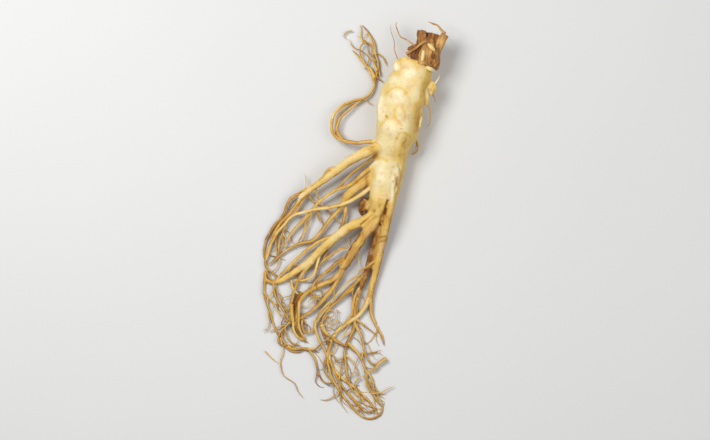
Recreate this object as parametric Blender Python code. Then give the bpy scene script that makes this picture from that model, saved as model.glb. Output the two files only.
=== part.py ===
"""A fresh ginseng root, as lifted and washed, lying on its side.

The plan is drawn in millimetres: +X to the right, +Y from the root's tail to its head and +Z up.
The origin is on the small flat spot under the thickest stretch of the taproot, where it rests.
Two bodies are built: the cream taproot, with its legs and rootlets grown from it, and the brown
rhizome with its torn dry stem sheath, which sits on the taproot's head."""

import math
import random
from collections import namedtuple

import bmesh
import bpy
import numpy as np

# Driving dimensions, in millimetres
MM = 0.001
BODY_WIDTH = 32.8
TIP_LENGTH = 1.6
FLARE_LENGTH = 7.0
FLARE_SHARE = 0.28
JOINT_GAP = 0.3
RHIZOME_WIDTH = 16.4
SHEATH_THICKNESS = 1.0
FINE_WIDTH = 1.3
FINE_STRIDE = 4.0
FINE_COUNT = 42
PLAN_LEFT = -98.0
PLAN_TAIL = -219.0
SEED = 22

# A fine root's lean from its strand, in radians, where it keeps it company and where it crosses it,
# how much it wanders, the share of its strand beyond which none starts, and the height of its tip
LEAN_ALONG = (0.1, 0.38)
LEAN_ACROSS = (0.8, 1.2)
LEAN_SWAY = 0.3
LEAN_CURL = 0.22
LAST_START = 0.8
FINE_TIP_HEIGHTS = (0.8, 4.0)

# The taproot's swellings round it and its creases across it, as shares of its radius
SWELL_DEPTH = 0.022
SMALL_SWELL_DEPTH = 0.016
CREASE_DEPTH = 0.018
CREASE_COUNT = 9

# How each body looks where it is shown plain, and the angle beyond which an edge is shaded sharp
FLESH_COLOUR = (0.80, 0.62, 0.34)
FLESH_ROUGHNESS = 0.5
SHEATH_COLOUR = (0.30, 0.17, 0.08)
SHEATH_ROUGHNESS = 0.8
SHARP_ANGLE = math.radians(50)

# How a root thins towards its tip: 1 is even, and a smaller power keeps it thick for longer
LEG_TAPER = 0.6
BRANCH_TAPER = 0.9
SINK_POWER = 1.6

# The least height of a centreline as a share of the root's radius, so that it lies a little flattened
REST_SHARE = 0.88

# Faces round each kind of root, and the least spacing of its rings
BODY_SIDES = 26
LEG_SIDES = 8
BRANCH_SIDES = 5
FINE_SIDES = 3
BODY_STEP = 4.2
LEG_STEP = 6.5
BRANCH_STEP = 7.4
FINE_STEP = 6.6
RHIZOME_STEP = 2.4
FIBRE_STEP = 4.0

# The taproot's centreline, head to tail: x, y, height, and its width as a share of BODY_WIDTH
BODY_STATIONS = [
    (11.6, 44.6, 13.4, 0.24),
    (11.9, 42.8, 13.4, 0.60),
    (11.8, 40.0, 13.8, 0.75),
    (11.3, 36.0, 14.6, 0.80),
    (10.2, 31.0, 15.2, 0.83),
    (7.7, 25.5, 15.4, 0.89),
    (4.0, 16.0, 15.6, 0.985),
    (1.0, 7.0, 15.6, 0.995),
    (-0.6, -2.0, 15.2, 0.97),
    (-1.6, -10.0, 14.6, 0.94),
    (-3.9, -17.0, 13.3, 0.86),
    (-5.2, -23.0, 12.0, 0.78),
    (-6.0, -29.0, 11.0, 0.72),
    (-7.2, -36.0, 10.5, 0.69),
    (-9.0, -43.0, 10.5, 0.69),
    (-10.4, -50.0, 10.3, 0.675),
    (-11.7, -57.0, 10.0, 0.635),
    (-13.2, -63.0, 9.8, 0.57),
    (-15.0, -68.0, 9.8, 0.44),
    (-16.2, -71.5, 9.8, 0.27),
    (-16.7, -73.5, 9.8, 0.12),
]

# A root: its width at its start and its end, its centreline's height at even shares of its length,
# and its route in plan. It starts inside what it grows from.
Root = namedtuple("Root", "name widths heights route")

LEGS = [
    Root("upper_leg", (7.8, 3.8), (18.5, 17.0, 12.5, 9.5, 7.0), [
        (-11, -22), (-18, -23.5), (-28, -28), (-37, -33), (-44, -38), (-52, -44), (-59, -49), (-66, -54),
        (-72, -59)]),
    Root("middle_leg", (8.2, 4.6), (12.0, 11.5, 9.5, 7.0), [
        (-16, -42), (-29, -50), (-36, -56), (-41, -63)]),
    Root("long_leg", (7.8, 2.6), (11.5, 10.0, 6.6, 4.0, 2.2, 1.0), [
        (-15, -69), (-26, -76), (-34, -79), (-43, -85), (-51, -92), (-58, -98), (-65, -105),
        (-73, -111), (-82, -117), (-90, -120), (-96, -118), (-97, -112)]),
    Root("thick_leg", (8.8, 6.2), (11.0, 10.2, 7.6, 4.8), [
        (-12.5, -62), (-15.4, -72), (-19.8, -79), (-25.2, -86), (-31, -94), (-36, -102), (-41, -110)]),
    Root("under_leg", (6.4, 3.4), (8.0, 5.4, 3.4, 2.4), [
        (-11.5, -64), (-14.5, -80), (-17.6, -91), (-20.4, -101), (-23, -111), (-27, -122), (-31, -131)]),
    Root("right_leg", (7.6, 4.2), (15.0, 16.6, 15.0, 11.0, 6.4, 3.8, 2.6), [
        (-3.6, -28), (-2.6, -40), (-4.8, -53), (-7, -66), (-9, -76), (-11, -86), (-14, -98), (-17, -112),
        (-20, -124), (-21, -133)]),
    Root("broken_stub", (5.4, 4.4), (11.0, 9.0), [(-19, -62), (-25, -66), (-29, -67)]),
    Root("shoulder_knob", (6.0, 4.6), (18.0, 21.0), [(3, 34), (0, 37), (-2, 39)]),
]

BRANCHES = [
    Root("upper_outer", (2.4, 1.5), (6.5, 0.6), [
        (-64, -53), (-72, -56), (-79, -59), (-81, -64), (-85, -73), (-91, -80), (-96, -89), (-98, -98),
        (-96, -107)]),
    Root("upper_middle", (2.8, 1.6), (6.5, 1.6), [
        (-70, -57), (-76, -66), (-82, -73), (-88, -80), (-92, -88), (-95, -97), (-97, -106), (-95, -114)]),
    Root("upper_inner", (2.4, 1.4), (6.5, 2.4), [
        (-64, -53), (-70, -61), (-74, -68), (-80, -75), (-84, -83), (-87, -92), (-88, -101)]),
    Root("thin_under_leg", (1.9, 1.3), (12.5, 3.4), [
        (-15, -27), (-29, -37), (-36, -43), (-42, -50), (-49, -55), (-56, -60), (-62, -66), (-67, -73),
        (-68, -80), (-71, -87)]),
    Root("side_strand", (3.2, 1.5), (16.0, 11.0, 5.0, 3.0), [
        (-16, -34), (-23, -39), (-27, -42), (-32, -47), (-37, -50), (-45, -53), (-53, -58), (-60, -64),
        (-66, -72), (-74, -80), (-80, -88), (-84, -96)]),
    Root("middle_lower", (3.4, 1.6), (7.0, 2.2), [
        (-38, -59), (-44, -68), (-51, -76), (-57, -84), (-63, -90), (-72, -92), (-80, -96), (-88, -102),
        (-95, -108)]),
    Root("middle_steep", (2.8, 1.6), (6.5, 3.0), [
        (-38, -60), (-39, -70), (-41, -78), (-46, -88), (-53, -99), (-56, -108)]),
    Root("bright_strand", (3.4, 1.6), (13.5, 3.0), [
        (-15, -47), (-28, -57), (-37, -62), (-46, -65), (-58, -67), (-68, -69), (-77, -72), (-84, -79),
        (-90, -87), (-94, -96), (-97, -105)]),
    Root("long_upper", (2.8, 1.4), (8.5, 2.4), [
        (-36, -80), (-47, -86), (-57, -90), (-66, -96), (-74, -103), (-81, -110), (-87, -116), (-91, -125),
        (-88, -134)]),
    Root("thick_outer", (4.6, 2.2), (4.5, 0.9), [
        (-38, -106), (-45, -116), (-54, -121), (-63, -125), (-70, -131), (-74, -140), (-74, -149),
        (-71, -157), (-68, -163)]),
    Root("thick_inner", (4.0, 1.6), (5.0, 2.6), [
        (-39, -106), (-44, -118), (-50, -127), (-57, -135), (-65, -142), (-73, -147), (-79, -155)]),
    Root("thick_side", (2.8, 1.4), (6.5, 3.0), [
        (-34, -100), (-44, -105), (-51, -111), (-58, -117), (-63, -124), (-64, -132)]),
    Root("under_straight", (3.0, 1.5), (3.0, 1.4), [
        (-29, -127), (-32, -139), (-32, -149), (-35, -159), (-39, -168), (-39, -178), (-38, -187),
        (-35, -195)]),
    Root("under_left", (2.8, 1.4), (4.2, 1.8), [
        (-24, -113), (-35, -124), (-44, -133), (-52, -141), (-56, -150), (-55, -158), (-51, -166),
        (-50, -174)]),
    Root("under_curl", (2.2, 1.3), (3.6, 2.4), [
        (-27, -121), (-33, -133), (-34, -143), (-40, -151), (-46, -157), (-52, -160)]),
    Root("right_tail", (3.0, 1.4), (3.2, 0.6), [
        (-21, -129), (-20, -142), (-17, -151), (-13, -158), (-11, -166)]),
    Root("right_sweep", (3.6, 1.6), (2.8, 0.6), [
        (-20, -127), (-26, -140), (-33, -147), (-42, -153), (-48, -160), (-51, -170), (-49, -180),
        (-42, -189), (-33, -196), (-25, -203), (-19, -210), (-16, -216)]),
    Root("bottom_loop", (2.2, 1.4), (2.6, 0.6), [
        (-49, -163), (-52, -174), (-50, -186), (-45, -196), (-38, -206), (-30, -215), (-22, -219),
        (-14, -216), (-11, -208)]),
    Root("bottom_inner", (1.8, 1.2), (2.2, 2.4), [
        (-50, -176), (-46, -188), (-39, -199), (-31, -208), (-24, -214), (-17, -212)]),
    Root("bottom_right", (2.0, 1.3), (2.8, 2.0), [
        (-37, -164), (-29, -173), (-25, -182), (-23, -193), (-18, -203), (-13, -210)]),
    Root("hook_right", (1.9, 1.2), (2.6, 3.2), [
        (-32, -150), (-27, -161), (-25, -171), (-20, -179), (-13, -178), (-9, -174)]),
    Root("left_curl", (2.8, 1.8), (5.0, 0.8), [
        (-63, -105), (-70, -114), (-75, -124), (-78, -134), (-79, -144), (-76, -153), (-72, -160),
        (-66, -164)]),
    Root("left_cross", (1.8, 1.2), (3.0, 2.4), [
        (-91, -119), (-90, -129), (-85, -139), (-80, -147), (-73, -152)]),
    Root("left_edge", (1.8, 1.2), (2.2, 0.5), [
        (-97, -115), (-98, -127), (-95, -138), (-92, -148), (-88, -157), (-83, -164), (-75, -168),
        (-66, -168), (-58, -171)]),
    Root("left_low", (1.6, 1.1), (2.0, 1.4), [
        (-66, -168), (-61, -176), (-58, -187), (-53, -193), (-47, -192)]),
    Root("curled_lateral", (3.4, 1.8), (14.0, 3.0), [
        (-14, -18), (-26, -19), (-35, -19), (-43, -17), (-48, -12), (-49, -5), (-47, 2), (-42, 7),
        (-34, 11), (-26, 13), (-21, 17), (-18, 24), (-17, 31)]),
    Root("lateral_double", (2.0, 1.4), (8.0, 3.6), [
        (-40, -18), (-45, -10), (-43, -2), (-37, 4), (-31, 9), (-24, 14)]),
    Root("tangle_left", (1.8, 1.2), (3.2, 0.5), [
        (-18, 24), (-21, 34), (-26, 39), (-30, 44), (-34, 48)]),
    Root("tangle_loop", (1.6, 1.2), (3.4, 4.6), [
        (-18, 26), (-23, 36), (-28, 43), (-28, 50), (-24, 54), (-20, 50), (-20, 43)]),
    Root("tangle_right", (1.6, 1.2), (3.0, 1.6), [
        (-17, 28), (-15, 37), (-17, 45), (-18, 53), (-22, 60), (-27, 66)]),
    Root("tangle_hook", (1.4, 1.1), (4.0, 1.4), [
        (-16, 33), (-19, 41), (-17, 46), (-12, 43), (-9, 37)]),
    Root("side_peel", (4.0, 1.4), (17.0, 15.0, 10.0), [
        (20, 30), (24, 26), (24, 19), (21, 10), (20, 2), (18.5, -7), (15, -12)]),
    Root("side_hair", (1.8, 1.2), (13.0, 8.0), [
        (10, -14), (13, -19), (13, -25), (9, -28)]),
]

# Strands that the seeded fine roots run beside, and the share of each from which they leave it
FINE_PARENTS = [
    ("upper_middle", 0.1), ("upper_inner", 0.1), ("bright_strand", 0.45), ("side_strand", 0.4),
    ("middle_lower", 0.3), ("long_upper", 0.3), ("long_leg", 0.45), ("thick_outer", 0.15),
    ("thick_inner", 0.2), ("thick_side", 0.3), ("under_left", 0.2), ("under_straight", 0.2),
    ("under_curl", 0.3), ("right_sweep", 0.25), ("left_curl", 0.3), ("bottom_loop", 0.1),
    ("thick_leg", 0.6), ("under_leg", 0.6), ("middle_steep", 0.3), ("right_tail", 0.2),
]

# The rhizome: x, y, height and its width as a share of RHIZOME_WIDTH, from its foot to its torn top
RHIZOME_STATIONS = [
    (17.5, 33.0, 18.2, 0.60),
    (19.2, 37.0, 19.4, 0.88),
    (19.6, 41.0, 20.0, 1.0),
    (19.8, 45.0, 20.0, 0.98),
    (20.4, 49.0, 19.6, 0.96),
    (21.6, 53.0, 19.2, 0.92),
    (22.6, 56.0, 18.8, 0.60),
]
RHIZOME_SIDES = 14
SCAR_RINGS = 3.5
SCAR_DEPTH = 0.07
SCAR_SWELL = 0.05

# A torn flap's outline, as half its width at each share of its length, and how ragged its edges are
FLAP_OUTLINE = [(0.0, 0.42), (0.3, 0.5), (0.6, 0.46), (0.82, 0.26), (1.0, 0.07)]
FLAP_RAGGED = 0.0096

# A torn flap of the dry sheath: its base, its tip, its height at both, its greatest width and its arch
Flap = namedtuple("Flap", "name base tip heights width arch")
FLAPS = [
    Flap("left_horn", (17.5, 47), (15, 62), (22, 26), 10.0, 1.6),
    Flap("right_horn", (27, 44), (34.5, 59), (20, 25), 8.4, 1.8),
    Flap("middle_scale", (21, 49), (22, 61), (18, 20), 11.0, -1.4),
    Flap("right_scale", (26, 49), (29.5, 60.5), (15, 17), 8.0, -1.4),
    Flap("front_scale", (20, 40), (24, 52), (26.5, 27), 8.0, 1.2),
    Flap("left_brace", (22, 53), (6, 44.5), (24, 24), 4.4, 0.8),
]
FIBRES = [
    Root("hair_root", (1.7, 1.2), (23.0, 18.0, 9.0), [
        (17, 47), (12, 50), (8, 52.5), (4.5, 56), (1, 57.5), (-1, 62), (-2, 66), (-1, 68.5)]),
    Root("top_thread", (1.8, 1.2), (22.0, 18.0), [(31, 54), (33, 59), (29, 65), (26, 67), (21, 69)]),
    Root("pale_bud", (3.2, 2.6), (26.6, 27.6), [(17.2, 48), (16.8, 44), (16.2, 40)]),
    Root("pale_scar", (3.2, 2.6), (27.4, 27.2), [(20.8, 52), (23, 49.5), (25, 46.8)]),
]


def smooth_route(points, step):
    """Points evenly spaced, about step apart, on a Catmull-Rom curve through the given ones."""
    known = [np.array(p, float) for p in points]
    known = [2 * known[0] - known[1], *known, 2 * known[-1] - known[-2]]
    dense = []
    for p0, p1, p2, p3 in zip(known, known[1:], known[2:], known[3:]):
        for t in np.linspace(0, 1, 12, endpoint=False):
            dense.append(0.5 * (2 * p1 + (p2 - p0) * t + (2 * p0 - 5 * p1 + 4 * p2 - p3) * t**2
                                + (3 * p1 - p0 - 3 * p2 + p3) * t**3))
    dense.append(known[-2])
    dense = np.array(dense)
    gone = travelled(dense)
    count = max(4, round(gone[-1] / step) + 1)
    wanted = np.linspace(0, gone[-1], count)
    return np.stack([np.interp(wanted, gone, dense[:, k]) for k in range(dense.shape[1])], axis=1)


def travelled(path):
    """The distance along a path at each of its points."""
    return np.concatenate([[0], np.cumsum(np.linalg.norm(np.diff(path, axis=0), axis=1))])


def frames_along(path):
    """A sideways and an upward unit vector at each point, square to the path."""
    ways = np.gradient(path, axis=0)
    ways /= np.linalg.norm(ways, axis=1)[:, None]
    found = []
    for way in ways:
        side = np.cross(way, (0, 0, 1))
        side /= max(np.linalg.norm(side), 1e-6)
        found.append((side, np.cross(side, way)))
    return found


def new_object(name, points, faces):
    """A mesh object from points in millimetres, with nothing of it below the surface it lies on."""
    points = np.array(points, float)
    points[:, 2] = np.maximum(points[:, 2], 0.0)
    mesh = bpy.data.meshes.new(name)
    mesh.from_pydata([tuple(p * MM) for p in points], [], faces)
    made = bpy.data.objects.new(name, mesh)
    bpy.context.scene.collection.objects.link(made)
    return made


def tube(name, path, radii, sides, shape=None):
    """A closed tube along a path. shape(turn, share) scales its radius round and along it."""
    points, faces = [], []
    lengths = travelled(path)
    for ring, (centre, radius, (side, up)) in enumerate(zip(path, radii, frames_along(path))):
        for k in range(sides):
            turn = 2 * math.pi * k / sides
            reach = radius * (shape(turn, lengths[ring] / lengths[-1]) if shape else 1.0)
            points.append(centre + reach * (math.cos(turn) * side + math.sin(turn) * up))
    for ring in range(len(path) - 1):
        for k in range(sides):
            a, b = ring * sides + k, ring * sides + (k + 1) % sides
            faces.append((a, b, b + sides, a + sides))
    way = path[-1] - path[-2]
    way /= np.linalg.norm(way)
    points += [path[0], path[-1] + way * min(TIP_LENGTH, radii[-1] * 1.5)]
    foot, tip, last = len(points) - 2, len(points) - 1, (len(path) - 1) * sides
    for k in range(sides):
        faces.append((foot, (k + 1) % sides, k))
        faces.append((tip, last + k, last + (k + 1) % sides))
    return new_object(name, points, [face[::-1] for face in faces])


def heights_along(root, share):
    """The centreline's height at each share of a root. One with two heights sinks soon after its start."""
    if len(root.heights) == 2:
        start, end = root.heights
        return end + (start - end) * (1 - share) ** SINK_POWER
    knots = smooth_route(list(enumerate(root.heights)), 0.1)
    return np.interp(share * knots[-1, 0], knots[:, 0], knots[:, 1])


def root_path(root, step, taper):
    """A root's centreline in space, and its radius at each point, with a flare where it starts."""
    plan = smooth_route(root.route, step)
    gone = travelled(plan)
    share = gone / gone[-1]
    thick, thin = (width / 2 for width in root.widths)
    radii = thin + (thick - thin) * (1 - share) ** taper
    radii = radii * (1 + FLARE_SHARE * np.exp(-gone / FLARE_LENGTH))
    heights = np.maximum(heights_along(root, share), radii * REST_SHARE)
    return np.column_stack([plan, heights]), radii


def grow(root, sides, step, taper):
    """One root as a closed tube."""
    path, radii = root_path(root, step, taper)
    return tube(root.name, path, radii, sides)


def body_shape(turn, share):
    """The taproot isn't round: it has shallow swellings round it and creases across it."""
    swell = SWELL_DEPTH * math.sin(3 * turn + 7 * share)
    swell += SMALL_SWELL_DEPTH * math.sin(5 * turn - 17 * share)
    crease = CREASE_DEPTH * math.sin(2 * math.pi * CREASE_COUNT * share + 1.2 * math.sin(turn))
    return 1 + swell + crease


def make_body(name, grow_by=0.0):
    """The taproot alone. grow_by makes it larger all over, as the cutter of the rhizome's foot."""
    stations = smooth_route(BODY_STATIONS, BODY_STEP)
    radii = stations[:, 3] * BODY_WIDTH / 2 + grow_by
    return tube(name, stations[:, :3], radii, BODY_SIDES, body_shape)


def fine_roots(parents):
    """Seeded hair-fine roots. Each leaves a strand and keeps it company, and every fourth crosses it."""
    draw = random.Random(SEED)
    made = []
    for number in range(FINE_COUNT):
        name, least = FINE_PARENTS[number % len(FINE_PARENTS)]
        path, _ = root_path(parents[name], FINE_STRIDE, BRANCH_TAPER)
        first = min(int(len(path) * draw.uniform(least, LAST_START)), len(path) - 3)
        crossing = number % 4 == 3
        lean = draw.choice((-1, 1)) * draw.uniform(*(LEAN_ACROSS if crossing else LEAN_ALONG))
        strides = draw.randint(4, 6) if crossing else draw.randint(7, 14)
        curl, phase = draw.uniform(-LEAN_CURL, LEAN_CURL), draw.uniform(0, 2 * math.pi)
        point, route = path[first, :2].copy(), []
        for stride in range(strides):
            route.append(tuple(point))
            near = min(first + stride, len(path) - 2)
            along = path[near + 1] - path[near]
            past_end = first + stride - near
            heading = math.atan2(along[1], along[0]) + lean
            heading += curl * past_end + LEAN_SWAY * math.sin(phase + 1.3 * stride)
            point = point + FINE_STRIDE * np.array((math.cos(heading), math.sin(heading)))
            point = np.maximum(point, (PLAN_LEFT, PLAN_TAIL))
        heights = (path[first, 2], draw.uniform(*FINE_TIP_HEIGHTS))
        made.append(Root(f"fine_{number:02d}", (FINE_WIDTH, FINE_WIDTH * 0.8), heights, route))
    return made


def flap(item):
    """A torn flap of the sheath: a thin arched blade with a ragged point."""
    base, tip = (np.array([*end, z], float) for end, z in zip((item.base, item.tip), item.heights))
    way = tip - base
    side = np.cross(way, (0, 0, 1))
    side /= np.linalg.norm(side)
    up = np.cross(side, way / np.linalg.norm(way))
    points, faces = [], []
    for share, half in FLAP_OUTLINE:
        for across in (-1.0, 0.0, 1.0):
            ragged = FLAP_RAGGED * math.sin(9 * share + 4 * across + item.width)
            middle = base + way * (share + ragged * abs(across)) + side * across * half * item.width
            lift = item.arch * (math.sin(math.pi * share * 0.7) - 0.6 * across**2)
            for face in (-0.5, 0.5):
                points.append(middle + up * (lift + face * SHEATH_THICKNESS))
    rows = len(FLAP_OUTLINE)
    for row in range(rows - 1):
        for column in range(2):
            for face in (0, 1):
                a = (row * 3 + column) * 2 + face
                b, c, d = a + 2, a + 8, a + 6
                corners = [(a, b, c), (a, c, d)]
                faces += corners if face == 0 else [t[::-1] for t in corners]
    rim = [(0, k) for k in range(3)] + [(r, 2) for r in range(1, rows)]
    rim += [(rows - 1, k) for k in (1, 0)] + [(r, 0) for r in range(rows - 2, 0, -1)]
    rim = [(row * 3 + column) * 2 for row, column in rim]
    for a, b in zip(rim, rim[1:] + rim[:1]):
        faces += [(a, a + 1, b + 1), (a, b + 1, b)]
    return new_object(item.name, points, faces)


def rhizome_shape(turn, share):
    """Old stem scars make the rhizome a short stack of uneven knobs."""
    scar = SCAR_DEPTH * math.sin(2 * math.pi * SCAR_RINGS * share + turn)
    return 1 + scar + SCAR_SWELL * math.sin(3 * turn)


def face_outwards(made):
    """Turns a closed mesh's faces outwards."""
    work = bmesh.new()
    work.from_mesh(made.data)
    bmesh.ops.recalc_face_normals(work, faces=work.faces)
    work.to_mesh(made.data)
    work.free()


def combine(base, others, operation):
    """Joins others into base, or cuts them from it, with one Boolean, applied, and removes them."""
    tools = bpy.data.collections.new(base.name + "_tools")
    for other in others:
        face_outwards(other)
        tools.objects.link(other)
        bpy.context.scene.collection.objects.unlink(other)
    bpy.context.scene.collection.children.link(tools)
    face_outwards(base)
    change = base.modifiers.new("combine", "BOOLEAN")
    change.operation = operation
    change.operand_type = "COLLECTION"
    change.collection = tools
    change.solver = "MANIFOLD"
    bpy.context.view_layer.update()
    graph = bpy.context.evaluated_depsgraph_get()
    mesh = bpy.data.meshes.new_from_object(base.evaluated_get(graph))
    base.modifiers.clear()
    base.data = mesh
    for other in others:
        bpy.data.objects.remove(other)
    bpy.data.collections.remove(tools)


def keep_largest(made):
    """Drops any scrap that isn't joined to the main body."""
    work = bmesh.new()
    work.from_mesh(made.data)
    seen, islands = set(), []
    for vertex in work.verts:
        if vertex in seen:
            continue
        island, front = {vertex}, [vertex]
        while front:
            for edge in front.pop().link_edges:
                for end in edge.verts:
                    if end not in island:
                        island.add(end)
                        front.append(end)
        seen |= island
        islands.append(island)
    islands.sort(key=len)
    for island in islands[:-1]:
        bmesh.ops.delete(work, geom=list(island), context="VERTS")
    work.to_mesh(made.data)
    work.free()


def finish(made, name, colour, roughness):
    """Names a body, gives it its material and shades its round faces smooth."""
    made.name = name
    made.data.name = name
    material = bpy.data.materials.new(name)
    material.use_nodes = True
    shader = material.node_tree.nodes["Principled BSDF"]
    shader.inputs["Base Color"].default_value = (*colour, 1)
    shader.inputs["Roughness"].default_value = roughness
    made.data.materials.clear()
    made.data.materials.append(material)
    made.data.shade_smooth()
    made.data.set_sharp_from_angle(angle=SHARP_ANGLE)


def make_taproot():
    """The taproot with its legs, branches and fine roots, fused in one body."""
    body = make_body("taproot")
    grown = [grow(root, LEG_SIDES, LEG_STEP, LEG_TAPER) for root in LEGS]
    grown += [grow(root, BRANCH_SIDES, BRANCH_STEP, BRANCH_TAPER) for root in BRANCHES]
    parents = {root.name: root for root in LEGS + BRANCHES}
    grown += [grow(root, FINE_SIDES, FINE_STEP, BRANCH_TAPER) for root in fine_roots(parents)]
    combine(body, grown, "UNION")
    keep_largest(body)
    finish(body, "taproot", FLESH_COLOUR, FLESH_ROUGHNESS)


def make_rhizome():
    """The rhizome with its scars, torn sheath and fibres, its foot hollowed to sit on the taproot."""
    stations = smooth_route(RHIZOME_STATIONS, RHIZOME_STEP)
    radii = stations[:, 3] * RHIZOME_WIDTH / 2
    rhizome = tube("rhizome", stations[:, :3], radii, RHIZOME_SIDES, rhizome_shape)
    grown = [flap(item) for item in FLAPS]
    grown += [grow(root, FINE_SIDES, FIBRE_STEP, BRANCH_TAPER) for root in FIBRES]
    combine(rhizome, grown, "UNION")
    combine(rhizome, [make_body("foot_cutter", JOINT_GAP)], "DIFFERENCE")
    keep_largest(rhizome)
    finish(rhizome, "rhizome", SHEATH_COLOUR, SHEATH_ROUGHNESS)


def main():
    for old in list(bpy.data.objects):
        bpy.data.objects.remove(old)
    make_taproot()
    make_rhizome()


main()
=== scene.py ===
# %% [markdown]
# # A fresh ginseng root, lying on its side
#
# The real thing is one plant organ: a stout cream body, a brown knobby neck at its head, and legs that
# fork again and again into rootlets as thin as thread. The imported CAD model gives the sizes, and this
# lesson grows the look over it: skin with wrinkles, a fan of rootlets, and a dry torn sheath.
# Everything below is worked out in millimetres, as one would measure a root, and turned into metres
# only when a mesh is made.

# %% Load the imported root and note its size
import math
import random
from collections import namedtuple

import bpy
import numpy as np
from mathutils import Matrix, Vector, noise


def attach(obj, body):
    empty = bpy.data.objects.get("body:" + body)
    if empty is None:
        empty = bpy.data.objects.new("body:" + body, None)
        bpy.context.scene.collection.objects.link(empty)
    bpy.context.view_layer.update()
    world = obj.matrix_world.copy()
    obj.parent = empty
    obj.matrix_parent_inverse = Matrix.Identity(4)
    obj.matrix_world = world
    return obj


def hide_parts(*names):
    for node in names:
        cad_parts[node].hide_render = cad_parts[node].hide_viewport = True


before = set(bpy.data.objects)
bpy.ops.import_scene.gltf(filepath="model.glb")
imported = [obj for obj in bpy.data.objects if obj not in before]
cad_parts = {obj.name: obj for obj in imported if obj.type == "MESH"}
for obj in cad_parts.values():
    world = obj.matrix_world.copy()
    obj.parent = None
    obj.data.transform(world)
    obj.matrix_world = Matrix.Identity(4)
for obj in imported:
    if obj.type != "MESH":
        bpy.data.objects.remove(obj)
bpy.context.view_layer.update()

# %% [markdown]
# ## Routes
#
# Every root, thick or thin, is a line in space with a thickness that fades along it. A root drawn by
# hand with a Bezier pen would do, but a short list of points in plan, with a height and a width at
# each end, is quicker to read and to correct. A Catmull-Rom curve passes through every point, so what
# is written is what is drawn.

# %% Smooth curves through a few points
MM = 0.001
FINE_STEPS = 12


def travelled(path):
    """The distance along a path at each of its points."""
    return np.concatenate([[0], np.cumsum(np.linalg.norm(np.diff(path, axis=0), axis=1))])


def smooth_route(points, step):
    """Points about step apart on a curve that passes through the given ones."""
    known = [np.array(p, float) for p in points]
    known = [2 * known[0] - known[1], *known, 2 * known[-1] - known[-2]]
    t = np.linspace(0, 1, FINE_STEPS, endpoint=False)[:, None]
    dense = []
    for p0, p1, p2, p3 in zip(known, known[1:], known[2:], known[3:]):
        dense.append(0.5 * (2 * p1 + (p2 - p0) * t + (2 * p0 - 5 * p1 + 4 * p2 - p3) * t**2
                            + (3 * p1 - p0 - 3 * p2 + p3) * t**3))
    dense = np.vstack([*dense, known[-2]])
    gone = travelled(dense)
    count = max(4, round(gone[-1] / step) + 1)
    wanted = np.linspace(0, gone[-1], count)
    return np.stack([np.interp(wanted, gone, dense[:, k]) for k in range(dense.shape[1])], axis=1)


print("a test curve has", len(smooth_route([(0, 0), (10, 4), (20, 0)], 1.0)), "points")

# %% [markdown]
# ## The list of roots
#
# Each row names one root and gives its width at its start and its end, the heights of its middle line,
# its tone (0 is the pale cream of the body, 1 the brown of old thin roots) and its route in plan, with
# the head up the page. The body's own rows are a place in space and a share of its greatest width. The
# legs come first, then the long branches that fork from them, then the thin strands between those.

# %% The body and the thick legs
BODY_WIDTH = 32.8
BODY_STATIONS = [
    (11.6, 44.6, 13.4, 0.24), (11.9, 42.8, 13.4, 0.6), (11.8, 40, 13.8, 0.75), (11.3, 36, 14.6, 0.8),
    (10.2, 31, 15.2, 0.83), (7.7, 25.5, 15.4, 0.89), (4, 16, 15.6, 0.985), (1, 7, 15.6, 0.995),
    (-0.6, -2, 15.2, 0.97), (-1.6, -10, 14.6, 0.94), (-3.9, -17, 13.3, 0.86), (-5.2, -23, 12, 0.78),
    (-6, -29, 11, 0.72), (-7.2, -36, 10.5, 0.69), (-9, -43, 10.5, 0.69), (-10.4, -50, 10.3, 0.675),
    (-11.7, -57, 10, 0.635), (-13.2, -63, 9.8, 0.57), (-15, -68, 9.8, 0.44), (-16.2, -71.5, 9.8, 0.27),
    (-16.7, -73.5, 9.8, 0.12),
]
Root = namedtuple("Root", "name widths heights tone route")

LEGS = [
    Root("upper_leg", (7.8, 3.8), (18.5, 17, 12.5, 9.5, 7), 0.2, [
        (-11, -22), (-18, -23.5), (-28, -28), (-37, -33), (-44, -38), (-52, -44), (-59, -49), (-66, -54),
        (-72, -59)]),
    Root("middle_leg", (8.2, 4.6), (12, 11.5, 9.5, 7), 0.42, [
        (-16, -42), (-29, -50), (-36, -56), (-41, -63)]),
    Root("long_leg", (7.8, 2.6), (11.5, 10, 6.6, 4, 2.2, 1), 0.28, [
        (-15, -69), (-26, -76), (-34, -79), (-43, -85), (-51, -92), (-58, -98), (-65, -105), (-73, -111),
        (-82, -117), (-90, -120), (-96, -118), (-97, -112)]),
    Root("thick_leg", (8.6, 6), (11, 10.2, 7.6, 4.8), 0.55, [
        (-12.5, -62), (-15.4, -72), (-19.8, -79), (-25.2, -86), (-31, -94), (-36, -102), (-41, -110)]),
    # The under leg's dark tone is partly its own brown and partly painted shade, as it lies beneath the
    # others.
    Root("under_leg", (6.2, 3.3), (8, 5.4, 3.4, 2.4), 0.95, [
        (-11.5, -64), (-14.5, -80), (-17.6, -91), (-20.4, -101), (-23, -111), (-27, -122), (-31, -131)]),
    Root("right_leg", (7.4, 4), (15, 16.6, 15, 11, 6.4, 3.8, 2.6), 0.42, [
        (-3.6, -28), (-2.6, -40), (-4.8, -53), (-7, -66), (-9, -76), (-11, -86), (-14, -98), (-17, -112),
        (-20, -124), (-21, -133)]),
    Root("broken_stub", (5.4, 4.4), (11, 9), 1, [(-19, -62), (-25, -66), (-29, -67)]),
    Root("shoulder_knob", (6, 4.6), (18, 21), 0.1, [(3, 34), (0, 37), (-2, 39)]),
]
print(len(LEGS), "thick roots leave the body")

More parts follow.
